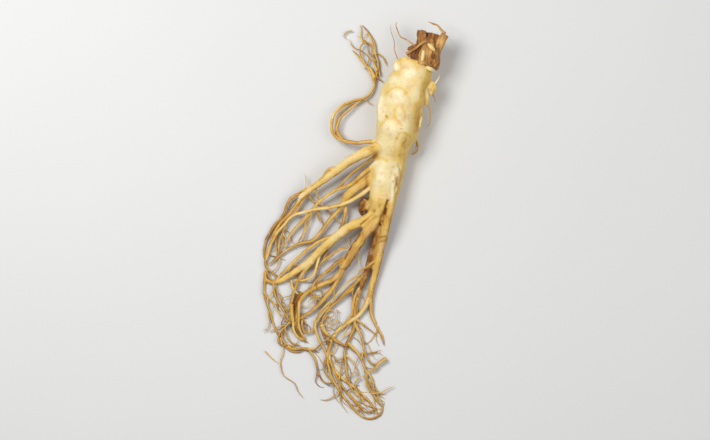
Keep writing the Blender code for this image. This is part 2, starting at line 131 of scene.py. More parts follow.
# %% The long branches
BRANCHES = [
    Root("upper_outer", (2.4, 1.5), (6.5, 0.6), 0.6, [
        (-64, -53), (-70, -55), (-75.4, -57.2), (-79.4, -60.6), (-81.6, -65), (-83.6, -70.6),
        (-87.4, -75.8), (-91.4, -80.6), (-96, -89), (-98, -98), (-96, -107)]),
    Root("upper_middle", (2.8, 1.6), (6.5, 1.6), 0.5, [
        (-70, -57), (-76, -66), (-82, -73), (-88, -80), (-92, -88), (-95, -97), (-97, -106), (-95, -114)]),
    Root("upper_inner", (2.4, 1.4), (6.5, 2.4), 0.55, [
        (-64, -53), (-70, -61), (-74, -68), (-80, -75), (-84, -83), (-87, -92), (-88, -101)]),
    Root("thin_under_leg", (1.9, 1.3), (12.5, 3.4), 0.5, [
        (-15, -27), (-29, -37), (-36, -43), (-42, -50), (-49, -55), (-56, -60), (-62, -66), (-67, -73),
        (-68, -80), (-70, -86), (-73.4, -92.2)]),
    Root("side_strand", (3.2, 1.5), (16, 11, 5, 3), 0.45, [
        (-16, -34), (-23, -39), (-27, -42), (-32, -47), (-37, -50), (-45, -53), (-53, -58), (-60, -64),
        (-66, -72), (-74, -80), (-80, -88), (-84, -96)]),
    Root("middle_lower", (3.4, 1.6), (7, 2.2), 0.5, [
        (-38, -59), (-44, -68), (-51, -76), (-57, -84), (-63, -90), (-72, -92), (-80, -96), (-88, -102),
        (-95, -108)]),
    Root("middle_steep", (2.8, 1.6), (6.5, 3), 0.6, [
        (-38, -60), (-39, -70), (-41, -78), (-46, -88), (-53, -99), (-56, -108)]),
    Root("bright_strand", (3.4, 1.6), (13.5, 3), 0.25, [
        (-15, -47), (-28, -57), (-37, -62), (-46, -65), (-58, -67), (-68, -69), (-77, -72), (-84, -79),
        (-90, -87), (-94, -96), (-97, -105)]),
    Root("long_upper", (2.8, 1.4), (8.5, 2.4), 0.45, [
        (-36, -80), (-47, -86), (-57, -90), (-66, -96), (-74, -103), (-81, -110), (-87, -116), (-91, -125),
        (-88, -134)]),
    Root("thick_outer", (4.6, 2.2), (4.5, 0.9), 0.5, [
        (-38, -106), (-45, -116), (-54, -121), (-63, -125), (-70, -131), (-74, -140), (-74, -149),
        (-71, -157), (-68, -163)]),
    Root("thick_inner", (4, 1.6), (5, 2.6), 0.55, [
        (-39, -106), (-44, -118), (-50, -127), (-57, -135), (-65, -142), (-73, -147), (-79, -155)]),
    Root("thick_side", (2.8, 1.4), (6.5, 3), 0.6, [
        (-34, -100), (-44, -105), (-51, -111), (-58, -117), (-63, -124), (-64, -132)]),
    Root("under_straight", (3, 1.5), (3, 1.4), 0.6, [
        (-29, -127), (-32, -139), (-32, -149), (-35, -159), (-39, -168), (-39, -178), (-38, -187),
        (-35, -195)]),
    Root("under_left", (2.8, 1.4), (4.2, 1.8), 0.7, [
        (-24, -113), (-35, -124), (-44, -133), (-52, -141), (-56, -150), (-55, -158), (-51, -166),
        (-50, -174)]),
    Root("under_curl", (2.2, 1.3), (3.6, 2.4), 0.45, [
        (-27, -121), (-33, -133), (-34, -143), (-40, -151), (-46, -157), (-52, -160)]),
    Root("right_tail", (3, 1.4), (3.2, 0.6), 0.5, [
        (-21, -129), (-20, -142), (-17, -151), (-13, -158), (-11, -166)]),
    Root("right_sweep", (3.6, 1.6), (2.8, 0.6), 0.3, [
        (-20, -127), (-26, -140), (-33, -147), (-42, -153), (-48, -160), (-51, -170), (-49, -180),
        (-42, -189), (-33, -196), (-25, -203), (-19, -210), (-16, -216)]),
    Root("bottom_loop", (2.2, 1.4), (2.6, 0.6), 0.6, [
        (-49, -163), (-52, -174), (-50, -186), (-45, -196), (-38, -206), (-30, -215), (-22, -219),
        (-14, -216), (-11, -208)]),
    Root("bottom_inner", (1.8, 1.2), (2.2, 2.4), 0.65, [
        (-50, -176), (-46, -188), (-39, -199), (-31, -208), (-24, -214), (-17, -212)]),
    Root("bottom_right", (2, 1.3), (2.8, 2), 0.6, [
        (-37, -164), (-29, -173), (-25, -182), (-23, -193), (-18, -203), (-13, -210)]),
    Root("hook_right", (1.9, 1.2), (2.6, 3.2), 0.55, [
        (-32, -150), (-27, -161), (-25, -171), (-20, -179), (-13, -178), (-9, -174)]),
    Root("left_curl", (2.8, 1.8), (5, 0.8), 0.5, [
        (-63, -105), (-70, -114), (-75, -124), (-78, -134), (-79, -144), (-76, -153), (-72, -160),
        (-66, -164)]),
    Root("left_cross", (1.8, 1.2), (3, 2.4), 0.6, [
        (-91, -119), (-90, -129), (-85, -139), (-80, -147), (-73, -152)]),
    Root("left_edge", (1.8, 1.2), (2.2, 0.5), 0.65, [
        (-97, -115), (-98, -127), (-95, -138), (-92, -148), (-88, -157), (-83, -164), (-75, -168),
        (-66, -168), (-58, -171)]),
    Root("left_low", (1.6, 1.1), (2, 1.4), 0.7, [
        (-66, -168), (-61, -176), (-58, -187), (-53, -193), (-47, -192)]),
    Root("curled_lateral", (3, 1.7), (14, 3), 0.46, [
        (-14, -18), (-26, -19), (-35, -19), (-43, -17), (-48, -12), (-49, -5), (-47, 2), (-42, 7),
        (-34, 11), (-26, 13), (-21, 17), (-18, 24), (-17, 31)]),
    Root("lateral_double", (2, 1.4), (8, 3.6), 0.45, [
        (-40, -18), (-45, -10), (-43, -2), (-37, 4), (-31, 9), (-24, 14)]),
    Root("tangle_left", (1.8, 1.2), (3.2, 0.5), 0.55, [
        (-18, 24), (-21, 34), (-26, 39), (-30, 44), (-34, 48)]),
    Root("tangle_loop", (1.6, 1.2), (3.4, 4.6), 0.6, [
        (-18, 26), (-23, 36), (-28, 43), (-28, 50), (-24, 54), (-20, 50), (-20, 43)]),
    Root("tangle_right", (1.6, 1.2), (3, 1.6), 0.6, [
        (-17, 28), (-15, 37), (-17, 45), (-18, 53), (-22, 60), (-27, 66)]),
    Root("tangle_hook", (1.4, 1.1), (4, 1.4), 0.6, [(-16, 33), (-19, 41), (-17, 46), (-12, 43), (-9, 37)]),
    Root("side_hair", (1.2, 0.8), (13, 8), 0.6, [(10, -14), (13, -19), (13, -25), (9, -28)]),
]
print(len(BRANCHES), "branches fork from them")

# %% The thin strands between the branches
STRANDS = [
    Root("fan_a", (1.4, 0.8), (6, 3), 0.55, [(-66, -57), (-61, -63), (-54, -66), (-48, -73), (-42, -78)]),
    Root("fan_b", (1.2, 0.8), (6, 3), 0.6, [(-56, -66), (-59, -71), (-57, -77)]),
    Root("fan_c", (2.2, 1.5), (5.5, 3.6), 0.32, [
        (-57.4, -98.6), (-58.6, -104.3), (-60.2, -111.1), (-62.6, -115.3), (-66.4, -117.8), (-72, -118.9),
        (-77.4, -118.3)]),
    Root("fan_d", (1.5, 0.8), (7, 2.4), 0.55, [
        (-44, -97), (-50, -101), (-56, -105), (-59, -111), (-61, -118)]),
    Root("fan_hook", (1.7, 1.2), (3, 3), 0.28, [
        (-78.2, -118.8), (-77.7, -122.4), (-76.2, -125.5), (-74.1, -128.1), (-71.5, -129)]),
    Root("fan_e", (1.6, 1), (7, 3), 0.5, [
        (-37, -94.6), (-44.3, -96.9), (-48.9, -100.9), (-52.9, -103.1), (-56.9, -106.6), (-59.1, -109.4),
        (-60.9, -112.9), (-64.3, -116.9)]),
    Root("low_a", (1.5, 0.8), (2.4, 2), 0.65, [(-37, -165), (-31, -171), (-22, -172), (-13, -169)]),
    Root("low_b", (1.4, 0.8), (3, 2), 0.6, [(-31, -147), (-23, -153), (-16, -159)]),
    Root("low_c", (1.3, 0.8), (3, 2), 0.7, [(-52.6, -174.5), (-54.6, -180), (-53.8, -186), (-47, -193)]),
    Root("low_d", (1, 0.6), (3, 0.8), 0.5, [(-43, -198), (-46, -202), (-52, -205), (-57, -205)]),
    Root("low_e", (1.1, 0.6), (3, 2), 0.45, [(-20, -201), (-13, -200), (-8, -197), (-4, -195)]),
    Root("left_long", (0.9, 0.6), (2, 1), 0.4, [
        (-86, -160), (-84, -170), (-86, -178), (-84, -187), (-76, -193), (-73, -200), (-69, -204)]),
    Root("left_c", (0.8, 0.5), (1.6, 0.6), 0.4, [(-97, -170), (-92, -175), (-87, -179)]),
    Root("left_d", (1.2, 0.7), (3, 2), 0.65, [(-80, -150), (-88, -153), (-94, -156)]),
    Root("flank_hair", (0.9, 0.6), (12, 9), 0.6, [(12, -15), (13, -18), (13, -25), (9, -28)]),
    Root("tangle_small", (0.9, 0.6), (2.6, 2), 0.6, [(-34, 62), (-38, 61), (-40, 58), (-38, 56)]),
    Root("tangle_cross", (1, 0.7), (3.4, 2.4), 0.6, [
        (-25, 34), (-22, 42), (-27, 47), (-33, 50), (-36, 56)]),
    Root("tangle_fork", (1, 0.6), (3, 2), 0.6, [(-17, 40), (-22, 46), (-24, 54), (-30, 58)]),
    Root("lateral_twin", (1.2, 0.8), (5, 3), 0.5, [(-46, -14), (-46, -5), (-43, 3), (-36, 8), (-27, 11)]),
    Root("drop_a", (1.3, 0.8), (5.5, 3), 0.5, [(-62.6, -68), (-64.9, -75.6), (-67.8, -86), (-69.4, -91.6)]),
    Root("drop_b", (1.1, 0.7), (5, 3), 0.55, [(-59.7, -68), (-56.7, -74.8), (-53.6, -80.6)]),
    Root("drop_c", (1.1, 0.7), (5, 2.4), 0.42, [(-66.3, -71), (-73.8, -78.5), (-79.7, -86), (-83, -93)]),
    Root("drop_d", (1.3, 0.8), (4, 2), 0.5, [(-84.9, -75.6), (-88.6, -83), (-89.4, -92), (-88.6, -101)]),
    Root("drop_e", (1.2, 0.7), (4, 2), 0.55, [(-81, -76), (-83.4, -83), (-84.9, -92.7), (-87, -99)]),
    Root("upper_rim", (1.9, 1.5), (11.5, 12.4, 10.4, 8), 0.5, [
        (-43.5, -36.6), (-51.2, -38.6), (-55.4, -44), (-61, -49.4), (-67, -52.6), (-73, -55.6)]),
    Root("upper_hair", (0.9, 0.5), (8, 5), 0.3, [(-68.6, -54.8), (-67.5, -47.3), (-68.6, -40.7)]),
    Root("gray_a", (0.8, 0.5), (6, 3), 0.3, [(-39, -83), (-38, -86), (-36.6, -90.4), (-37.6, -95)]),
    Root("gray_b", (0.9, 0.5), (5, 3), 0.25, [(-29.9, -94), (-29.2, -105.3), (-28.4, -112)]),
    Root("gray_c", (1.4, 1), (5, 3), 0.38, [
        (-28.6, -114.6), (-32.2, -116.8), (-36.3, -119.7), (-40.9, -123.7), (-44.3, -127.7),
        (-47.1, -131.1), (-50, -135.1), (-53.4, -139.7), (-57.4, -145.4), (-60.3, -150.6), (-62.4, -154)]),
    Root("low_f", (1.3, 0.8), (3, 2), 0.45, [
        (-9, -176), (-14, -178.6), (-19, -183), (-23.6, -189), (-23, -197), (-18, -202.4), (-14.6, -209)]),
    Root("low_g", (1.2, 0.8), (3, 2), 0.5, [(-43.4, -191), (-42, -180), (-39.6, -170)]),
    Root("low_h", (1.2, 0.8), (2.6, 1.6), 0.6, [(-28.5, -189), (-32, -194), (-27.6, -201), (-21, -208)]),
    Root("fan_f", (1.2, 0.8), (8, 6), 0.55, [(-60, -51.4), (-59.4, -57), (-57.2, -62.2), (-53.6, -66.4)]),
    Root("arch_low", (1.5, 1), (6, 3), 0.55, [
        (-40, -104.4), (-43.6, -105.6), (-47.1, -108.9), (-51.1, -112.3), (-55.1, -114.6), (-59.4, -118)]),
    Root("under_rim", (1.5, 1.2), (6.4, 4), 0.62, [
        (-17.4, -104.4), (-24.9, -110), (-28.3, -112.9), (-29.6, -115.8), (-30.2, -119), (-32.3, -122.6),
        (-33.8, -127.6), (-34.4, -133)]),
    Root("twin_left", (1.9, 1.4), (4.4, 3), 0.6, [
        (-33, -124.6), (-40.3, -130), (-45.4, -134.6), (-48.9, -137.6), (-52.6, -141.2)]),
    Root("web_a", (1.3, 0.9), (3, 2), 0.4, [
        (-98, -127), (-95.2, -131.2), (-93.4, -132.5), (-90.9, -135.8), (-88.6, -139.6), (-85.6, -144.4),
        (-81.6, -148), (-77.6, -149.6)]),
    Root("web_b", (1.2, 0.9), (4, 3), 0.55, [
        (-89.6, -121.6), (-90.6, -125), (-92.4, -128.4), (-95.2, -131.4)]),
    Root("web_c", (1.1, 0.7), (3, 1.4), 0.45, [
        (-95.2, -131), (-95.5, -135.6), (-94.2, -140.4), (-92.6, -145.4), (-91, -150), (-89.4, -153.4)]),
    Root("web_d", (1, 0.7), (5, 3), 0.6, [
        (-89.4, -124), (-88, -128.4), (-84.6, -133.6), (-82.8, -136), (-82.2, -139), (-79.6, -141.6)]),
    Root("web_e", (0.9, 0.6), (3, 1.6), 0.5, [
        (-94.6, -141), (-94.2, -147.2), (-94.2, -151.6), (-95.6, -154.6), (-98, -157)]),
    Root("curl_a", (2.2, 1.4), (3.4, 2), 0.75, [
        (-76, -148), (-80.4, -150.4), (-83.6, -153.4), (-84.9, -157.6), (-84.2, -162), (-81.6, -166)]),
    Root("curl_b", (1.4, 1), (3, 2), 0.7, [
        (-83, -152.6), (-86.4, -156.4), (-87.4, -160.4), (-87.2, -164), (-83.4, -166.4), (-79.8, -166.8),
        (-75.6, -165.2), (-72.6, -162.4)]),
    Root("bundle_a", (1.8, 1.2), (2.6, 1.6), 0.6, [
        (-81, -166.6), (-76.4, -168.9), (-70.6, -168.2), (-65.4, -169.4), (-60, -169.8)]),
    Root("bundle_b", (1.3, 0.9), (2, 1.2), 0.7, [
        (-83, -166), (-78.4, -169.8), (-73, -170.6), (-67.6, -168)]),
    Root("between", (2.6, 1.8), (2.6, 1.6), 0.8, [
        (-71, -127), (-74.2, -133), (-75.4, -140), (-75.6, -148), (-74.6, -154.6), (-71.6, -160)]),
    Root("ladder_a", (1.7, 1.2), (4, 3), 0.45, [
        (-50, -134), (-55.4, -139.4), (-59.2, -145.4), (-61.2, -150), (-61.8, -153.4), (-64, -156),
        (-69, -157.6)]),
    Root("ladder_b", (1.5, 1), (5, 3), 0.5, [
        (-62.6, -127.4), (-61.2, -130.7), (-60.7, -135), (-61.4, -139.6)]),
    Root("ladder_c", (1.3, 0.9), (5, 4), 0.5, [(-58, -130), (-62, -130.9), (-66, -134)]),
    Root("ladder_d", (1.1, 0.8), (3, 2), 0.55, [
        (-70.5, -145.6), (-68, -149.8), (-67.3, -153.4), (-67, -157)]),
    Root("stem_left", (2, 1.7), (3.4, 2.6), 0.45, [
        (-60.6, -148), (-61, -153.4), (-58.8, -159.6), (-56.6, -164.4), (-53.6, -170), (-51.6, -175.4)]),
    Root("gold_knee", (3.2, 2.2), (3.6, 3.2), 0.4, [
        (-56, -150.6), (-55.2, -153.6), (-52.6, -157.2), (-49, -160.2)]),
    Root("bridge", (2.4, 1.8), (3.4, 3.2), 0.6, [
        (-48.6, -160), (-45.4, -162.8), (-41.6, -165), (-37.6, -166.6)]),
    Root("cross_a", (1.5, 1.1), (2.6, 3.4), 0.55, [
        (-66.4, -168.4), (-61, -168.6), (-57, -165), (-53, -161.7), (-49, -159)]),
    Root("knot_a", (0.8, 0.5), (3, 3.6, 2.6, 3.4), 0.5, [
        (-53, -141.5), (-48.6, -140.2), (-47.4, -144.4), (-51.8, -146.6), (-49.6, -150.4), (-45, -147.2),
        (-43, -150.8), (-46.4, -154.4), (-50.4, -153), (-52.8, -156)]),
    Root("knot_b", (0.8, 0.6), (2.4, 3, 2.4), 0.5, [
        (-55.4, -148.6), (-52, -144.2), (-49, -147.8), (-52.2, -151.8), (-48, -152.6), (-44.4, -145.4),
        (-45.6, -140.4), (-42, -142.6)]),
    Root("stem_end_a", (2.8, 1.5), (4.4, 3.4, 2.4), 0.42, [
        (-78.4, -136), (-77.6, -143), (-77, -150), (-75.6, -155.8), (-72.2, -160.8), (-68.4, -162.4)]),
    Root("stem_end_b", (2.2, 1.4), (4.8, 3.6, 2.8), 0.5, [
        (-72.4, -134), (-72.8, -142), (-73, -149.6), (-71.8, -155.6), (-69, -159.8), (-69.8, -163.2)]),
    Root("stem_loop", (1.4, 1), (4.4, 3, 3.6), 0.5, [
        (-70.4, -147.6), (-70.2, -152.4), (-67.6, -156.6), (-63, -155.4), (-60.6, -150), (-58.8, -144.6)]),
    Root("stem_side", (1.5, 1), (4, 2.6, 2), 0.55, [
        (-79, -148.6), (-82.6, -152.6), (-82, -157.6), (-79.8, -161.6), (-76.6, -164.8), (-71, -166)]),
    Root("low_i", (1.2, 0.8), (2.6, 2), 0.4, [
        (-38.4, -173), (-34, -177.2), (-31.3, -181.8), (-30, -185.1), (-29.2, -188.6)]),
    Root("low_j", (0.9, 0.7), (2.4, 2.6), 0.45, [(-30.8, -185.4), (-34.6, -187.4), (-38.2, -189)]),
    Root("low_k", (1, 0.7), (2.6, 2.8), 0.6, [
        (-50.4, -171.2), (-47.6, -173), (-46, -176.4), (-43.6, -178.4), (-40, -176.8)]),
    Root("bottom_b", (1.3, 0.9), (2.6, 1.8), 0.5, [
        (-38, -191.4), (-35.9, -194.2), (-32.6, -200.1), (-27.4, -204), (-24.8, -207.9), (-19.6, -210.5),
        (-16.4, -211.6)]),
    Root("bottom_c", (1.2, 0.8), (2, 2.8), 0.55, [
        (-30, -213), (-29.6, -208.8), (-28.6, -205), (-29.6, -200.6), (-33, -196.4)]),
    Root("bottom_d", (1.5, 1), (3, 1.6), 0.5, [
        (-24.2, -184), (-20.9, -188.3), (-18.9, -193.6), (-18.3, -198.8), (-15.7, -201.4), (-13.7, -204.4),
        (-12.4, -209.4)]),
    Root("bottom_e", (1.3, 0.9), (2.4, 1.8), 0.6, [
        (-43, -193), (-39, -198.4), (-34.4, -202.6), (-30.6, -207.6), (-28.6, -212.6), (-24.4, -216.6)]),
    Root("hook_stub", (2.4, 0.9), (3.4, 3.2, 2.6), 0.5, [
        (-9.8, -175.4), (-12.6, -177.4), (-15.2, -179.4), (-17.8, -182.8), (-21.4, -184.4), (-24, -187.6),
        (-27.4, -189)]),
    Root("net_a", (1.1, 0.8), (3, 3), 0.6, [(-96.8, -107.6), (-94, -111.5), (-91, -113.5), (-87, -115.4)]),
    Root("net_b", (1.1, 0.8), (2.4, 3), 0.6, [(-96.4, -109), (-95, -115), (-93, -118.5), (-90.5, -120)]),
    Root("net_c", (1, 0.7), (3, 3), 0.65, [
        (-95.4, -110.6), (-91.5, -114), (-89.5, -117.5), (-87.6, -119.6)]),
    Root("net_d", (1, 0.7), (3, 2), 0.6, [(-86.5, -103), (-88.5, -109), (-92, -113), (-96.8, -116)]),
    Root("net_e", (1.2, 0.8), (3, 4, 3), 0.65, [
        (-80.6, -112.4), (-78, -108.4), (-74.6, -107.6), (-73, -110.6)]),
    Root("tangle_flat", (2.8, 1.4), (3.4, 3), 0.38, [(-18, 27.5), (-19.4, 31.5), (-22, 35.4), (-26, 38)]),
    Root("tangle_side", (0.9, 0.6), (3, 2), 0.45, [(-14, 29.5), (-14.5, 34), (-15, 39), (-16, 42.5)]),
    Root("tangle_stub", (1.4, 0.9), (3.4, 2.4), 0.6, [(-17.6, 29.4), (-14.6, 27), (-12, 25)]),
    Root("tangle_top", (1, 0.7), (3, 2), 0.42, [
        (-17, 44.5), (-18, 48.4), (-19.2, 52.6), (-20.4, 56.4), (-22.4, 59.6), (-24.6, 58.4),
        (-25.2, 54.6)]),
    Root("tangle_tip", (1.2, 0.8), (3, 1.6), 0.4, [(-26.4, 54), (-27.9, 58), (-27.4, 62), (-28, 66.2)]),
    Root("lateral_bit", (0.9, 0.6), (4, 3), 0.5, [(-25, 12.6), (-22.4, 10.2), (-19.4, 8.4)]),
    Root("stub_rag", (4.6, 3.2), (8, 6), 0.95, [(-24, -60), (-27, -64), (-27.6, -68.6), (-26, -72.4)]),
]
print(len(STRANDS), "thin strands fill the fan")

# %% [markdown]
# ## Tubes
#
# A root is a tube whose rings follow its line. Blender can bevel a curve, but then every ring is the
# same plain circle. Building the rings by hand lets the thickness swell and shrink by noise, as a root
# does where it squeezed past stones. Each point also keeps its place on the root as if the root were
# pulled straight, because the wrinkles of the skin run round that straightened root.

# %% A tube along a line, and the same points on the straightened root
Skin = namedtuple("Skin", "points faces straight tone")
APART = 53.0
SEED_SHIFT = 31.7
BLUNT_TIP = 0.7
PAINTED_SHADE_TONE = 0.40


def wander(points, size, seed=0.0):
    """Smooth noise, about -1 to 1, at each point. size is the width of one lump in millimetres."""
    return np.array([noise.noise((x / size + SEED_SHIFT * seed, y / size, z / size))
                     for x, y, z in points])


def ease(value, low, high):
    """0 below low, 1 above high, and a smooth step between."""
    share = np.clip((value - low) / (high - low), 0, 1)
    return share * share * (3 - 2 * share)


def frames_along(path):
    """A sideways and an upward unit vector at each point, square to the path."""
    ways = np.gradient(path, axis=0)
    ways /= np.linalg.norm(ways, axis=1)[:, None]
    side = np.cross(ways, (0, 0, 1))
    side /= np.maximum(np.linalg.norm(side, axis=1), 1e-6)[:, None]
    return side, np.cross(side, ways)


def tube(path, radii, sides, tone, seed=0.0, shape=None):
    """A closed tube, painted browner underneath and on one flank as shade. tone is one number, or one for
    each ring.
    """
    side, up = frames_along(path)
    gone = travelled(path)
    turn = 2 * math.pi * np.arange(sides) / sides
    reach = np.repeat(radii[:, None], sides, axis=1)
    if shape is not None:
        reach = reach * shape(turn[None, :], (gone / gone[-1])[:, None])
    rim = np.cos(turn)[None, :, None] * side[:, None, :] + np.sin(turn)[None, :, None] * up[:, None, :]
    rings = path[:, None, :] + reach[..., None] * rim
    way = path[-1] - path[-2]
    tip = path[-1] + way / np.linalg.norm(way) * radii[-1] * BLUNT_TIP
    points = np.vstack([rings.reshape(-1, 3), path[:1], tip[None]])
    across = np.stack([reach * np.cos(turn), reach * np.sin(turn)], axis=2).reshape(-1, 2)
    straight = np.column_stack([across, np.repeat(gone, sides)])
    straight = np.vstack([straight, (0, 0, 0), (0, 0, gone[-1])]) + (0, 0, APART * seed)
    tone = np.broadcast_to(tone, len(path))
    # Painted shade: the underside and one flank of every tube are given a browner tone.
    lower = PAINTED_SHADE_TONE * (1 - ease(0.85 * np.sin(turn) - 0.5 * np.cos(turn), -0.35, 0.75))
    tones = np.append((tone[:, None] + lower[None, :]).ravel(), (tone[0], tone[-1]))
    faces, last = [], (len(path) - 1) * sides
    for ring in range(0, last, sides):
        for k in range(sides):
            a, b = ring + k, ring + (k + 1) % sides
            faces.append((a + sides, b + sides, b, a))
    foot, end = last + sides, last + sides + 1
    for k in range(sides):
        faces.append((k, (k + 1) % sides, foot))
        faces.append((last + (k + 1) % sides, last + k, end))
    return Skin(points, faces, straight, tones)


def gather(skins):
    """Several skins as one."""
    faces, start = [], 0
    for skin in skins:
        faces += [tuple(v + start for v in face) for face in skin.faces]
        start += len(skin.points)
    return Skin(np.vstack([s.points for s in skins]), faces,
                np.vstack([s.straight for s in skins]), np.concatenate([s.tone for s in skins]))


print("tubes carry their points, faces, straightened places and tones")

# %% The line and thickness of one root
LEG_TAPER = 0.6
BRANCH_TAPER = 0.9
REST_SHARE = 0.88
SINKING = 1.6
FLARE_LENGTH = 7.0


def heights_along(root, share):
    """The middle line's height at each share of a root. One with two heights sinks soon after its start."""
    if len(root.heights) == 2:
        start, end = root.heights
        return end + (start - end) * (1 - share) ** SINKING
    knots = smooth_route(list(enumerate(root.heights)), 0.1)
    return np.interp(share * knots[-1, 0], knots[:, 0], knots[:, 1])


def root_path(root, step, taper, flare=0.28):
    """A root's middle line in space and its radius at each point, with a flare where it starts."""
    plan = smooth_route(root.route, step)
    gone = travelled(plan)
    share = gone / gone[-1]
    thick, thin = (width / 2 for width in root.widths)
    radii = thin + (thick - thin) * (1 - share) ** taper
    radii = radii * (1 + flare * np.exp(-gone / FLARE_LENGTH))
    heights = np.maximum(heights_along(root, share), radii * REST_SHARE)
    return np.column_stack([plan, heights]), radii


path, radii = root_path(LEGS[0], 2.0, LEG_TAPER)
print("the upper leg is", round(travelled(path)[-1]), "mm long")

# %% [markdown]
# ## The body and its legs, grown into one
#
# On the real root there is no seam where a leg leaves the body: the skin flows over in a soft web. A
# Boolean union would leave a hard line there. A voxel remesh is the better tool. It turns all the
# tubes into one even skin, which can then be relaxed most where two roots meet.

# %% One even skin round the body and legs
VOXEL = 0.62
BODY_TONE = 0.14
ROOTED = 9


def body_shape(turn, share):
    """The body isn't round: shallow swellings round it and creases across it."""
    swell = 0.022 * np.sin(3 * turn + 7 * share) + 0.016 * np.sin(5 * turn - 17 * share)
    return 1 + swell + 0.018 * np.sin(2 * math.pi * 9 * share + 1.2 * np.sin(turn))


def on_surface(points):
    """Points in metres from points in millimetres, none of them below the surface the root lies on."""
    return np.column_stack([points[:, :2], np.maximum(points[:, 2], 0.0)]) * MM


def new_piece(name, points, faces):
    """A mesh object from points in millimetres."""
    mesh = bpy.data.meshes.new(name)
    mesh.from_pydata(on_surface(points).tolist(), [], faces)
    mesh.shade_smooth()
    piece = bpy.data.objects.new(name, mesh)
    bpy.context.scene.collection.objects.link(piece)
    return piece


def even_skin(name, skins, voxel):
    """Joins closed tubes in one mesh of small even faces."""
    joined = gather(skins)
    piece = new_piece(name, joined.points, joined.faces)
    remesh = piece.modifiers.new("even", "REMESH")
    remesh.mode = "VOXEL"
    remesh.voxel_size = voxel * MM
    graph = bpy.context.evaluated_depsgraph_get()
    mesh = bpy.data.meshes.new_from_object(piece.evaluated_get(graph))
    piece.modifiers.clear()
    piece.data = mesh
    mesh.name = name
    return piece


def read_rows(items, value, width, kind=float):
    """One value of every item, a row for each."""
    flat = np.empty(len(items) * width, kind)
    items.foreach_get(value, flat)
    return flat.reshape(-1, width)


def read_points(mesh):
    """A mesh's points, in millimetres."""
    return read_rows(mesh.vertices, "co", 3) / MM


def read_normals(mesh):
    """A mesh's unit normal at each point."""
    return read_rows(mesh.vertices, "normal", 3)


def edges_of(mesh):
    """A mesh's edges as pairs of point numbers."""
    return read_rows(mesh.edges, "vertices", 2, int)


def write_points(mesh, points):
    """Puts points, in millimetres, into a mesh."""
    mesh.vertices.foreach_set("co", on_surface(points).ravel())
    mesh.update()


body_line = smooth_route(BODY_STATIONS, 1.0)
body_path, body_radii = body_line[:, :3], body_line[:, 3] * BODY_WIDTH / 2
trunks = [(body_path, body_radii, BODY_TONE)]
skins = [tube(body_path, body_radii, 96, 0.0, shape=body_shape)]
for number, root in enumerate(LEGS):
    path, radii = root_path(root, 1.0, LEG_TAPER)
    radii = radii * (1 + 0.07 * wander(path, 6.0, number + 3))
    trunks.append((path, radii, root.tone))
    skins.append(tube(path, radii, 28, root.tone))
for root in BRANCHES:
    path, radii = root_path(root, 1.0, BRANCH_TAPER, flare=0.6)
    sunk = min(np.min(np.linalg.norm(trunk - path[0], axis=1) - reach) for trunk, reach, _ in trunks)
    if sunk < 1.0:
        narrowing = np.linspace(1.0, 0.8, ROOTED)
        skins.append(tube(path[:ROOTED], radii[:ROOTED] * narrowing, 16, root.tone))
root_body = even_skin("root_body", skins, VOXEL)
print("the body and legs have", len(root_body.data.vertices), "points")

# %% [markdown]
# ## Which root is each point on?
#
# After the remesh the points have forgotten where they came from. The nearest ring of the nearest line
# tells it again: how far along that root, how far round it, and how close the next root is. That last
# number says where two roots meet, and there the skin is relaxed to make the web.

# %% Find each point's root, and relax the skin where roots meet
BATCHES = 12


def nearest_ring(points, path, radii):
    """For each point, its height over a tube's surface, and the number of the nearest ring."""
    gaps, rings = [], []
    for part in np.array_split(points, BATCHES):
        far = np.linalg.norm(part[:, None, :] - path[None], axis=2) - radii[None]
        best = far.argmin(axis=1)
        gaps.append(far[np.arange(len(part)), best])
        rings.append(best)
    return np.concatenate(gaps), np.concatenate(rings)


def nearest_on_trunks(points):
    """The same for the body and for every leg, a row for each."""
    found = [nearest_ring(points, path, radii) for path, radii, _ in trunks]
    return np.array([gap for gap, _ in found]), np.array([rings for _, rings in found])


def relax(points, edges, share, rounds):
    """Moves each point towards the middle of its neighbours, by its own share, several times."""
    ends, others = edges.T
    count = np.bincount(edges.ravel(), minlength=len(points))
    for _ in range(rounds):
        total = np.stack([np.bincount(ends, points[others, k], len(points))
                          + np.bincount(others, points[ends, k], len(points)) for k in range(3)], axis=1)
        points = points + np.ravel(share)[:, None] * (total / count[:, None] - points)
    return points


mesh = root_body.data
points, edges = read_points(mesh), edges_of(mesh)
gaps, _ = nearest_on_trunks(points)
second_nearest = np.sort(gaps, axis=0)[1]
meeting = 1 - ease(second_nearest, 0.4, 2.6)
points = relax(points, edges, 0.5, 3)
points = relax(points, edges, 0.6 * meeting, 16)
write_points(mesh, points)
print(round(100 * meeting.mean()), "percent of the skin is where roots meet")
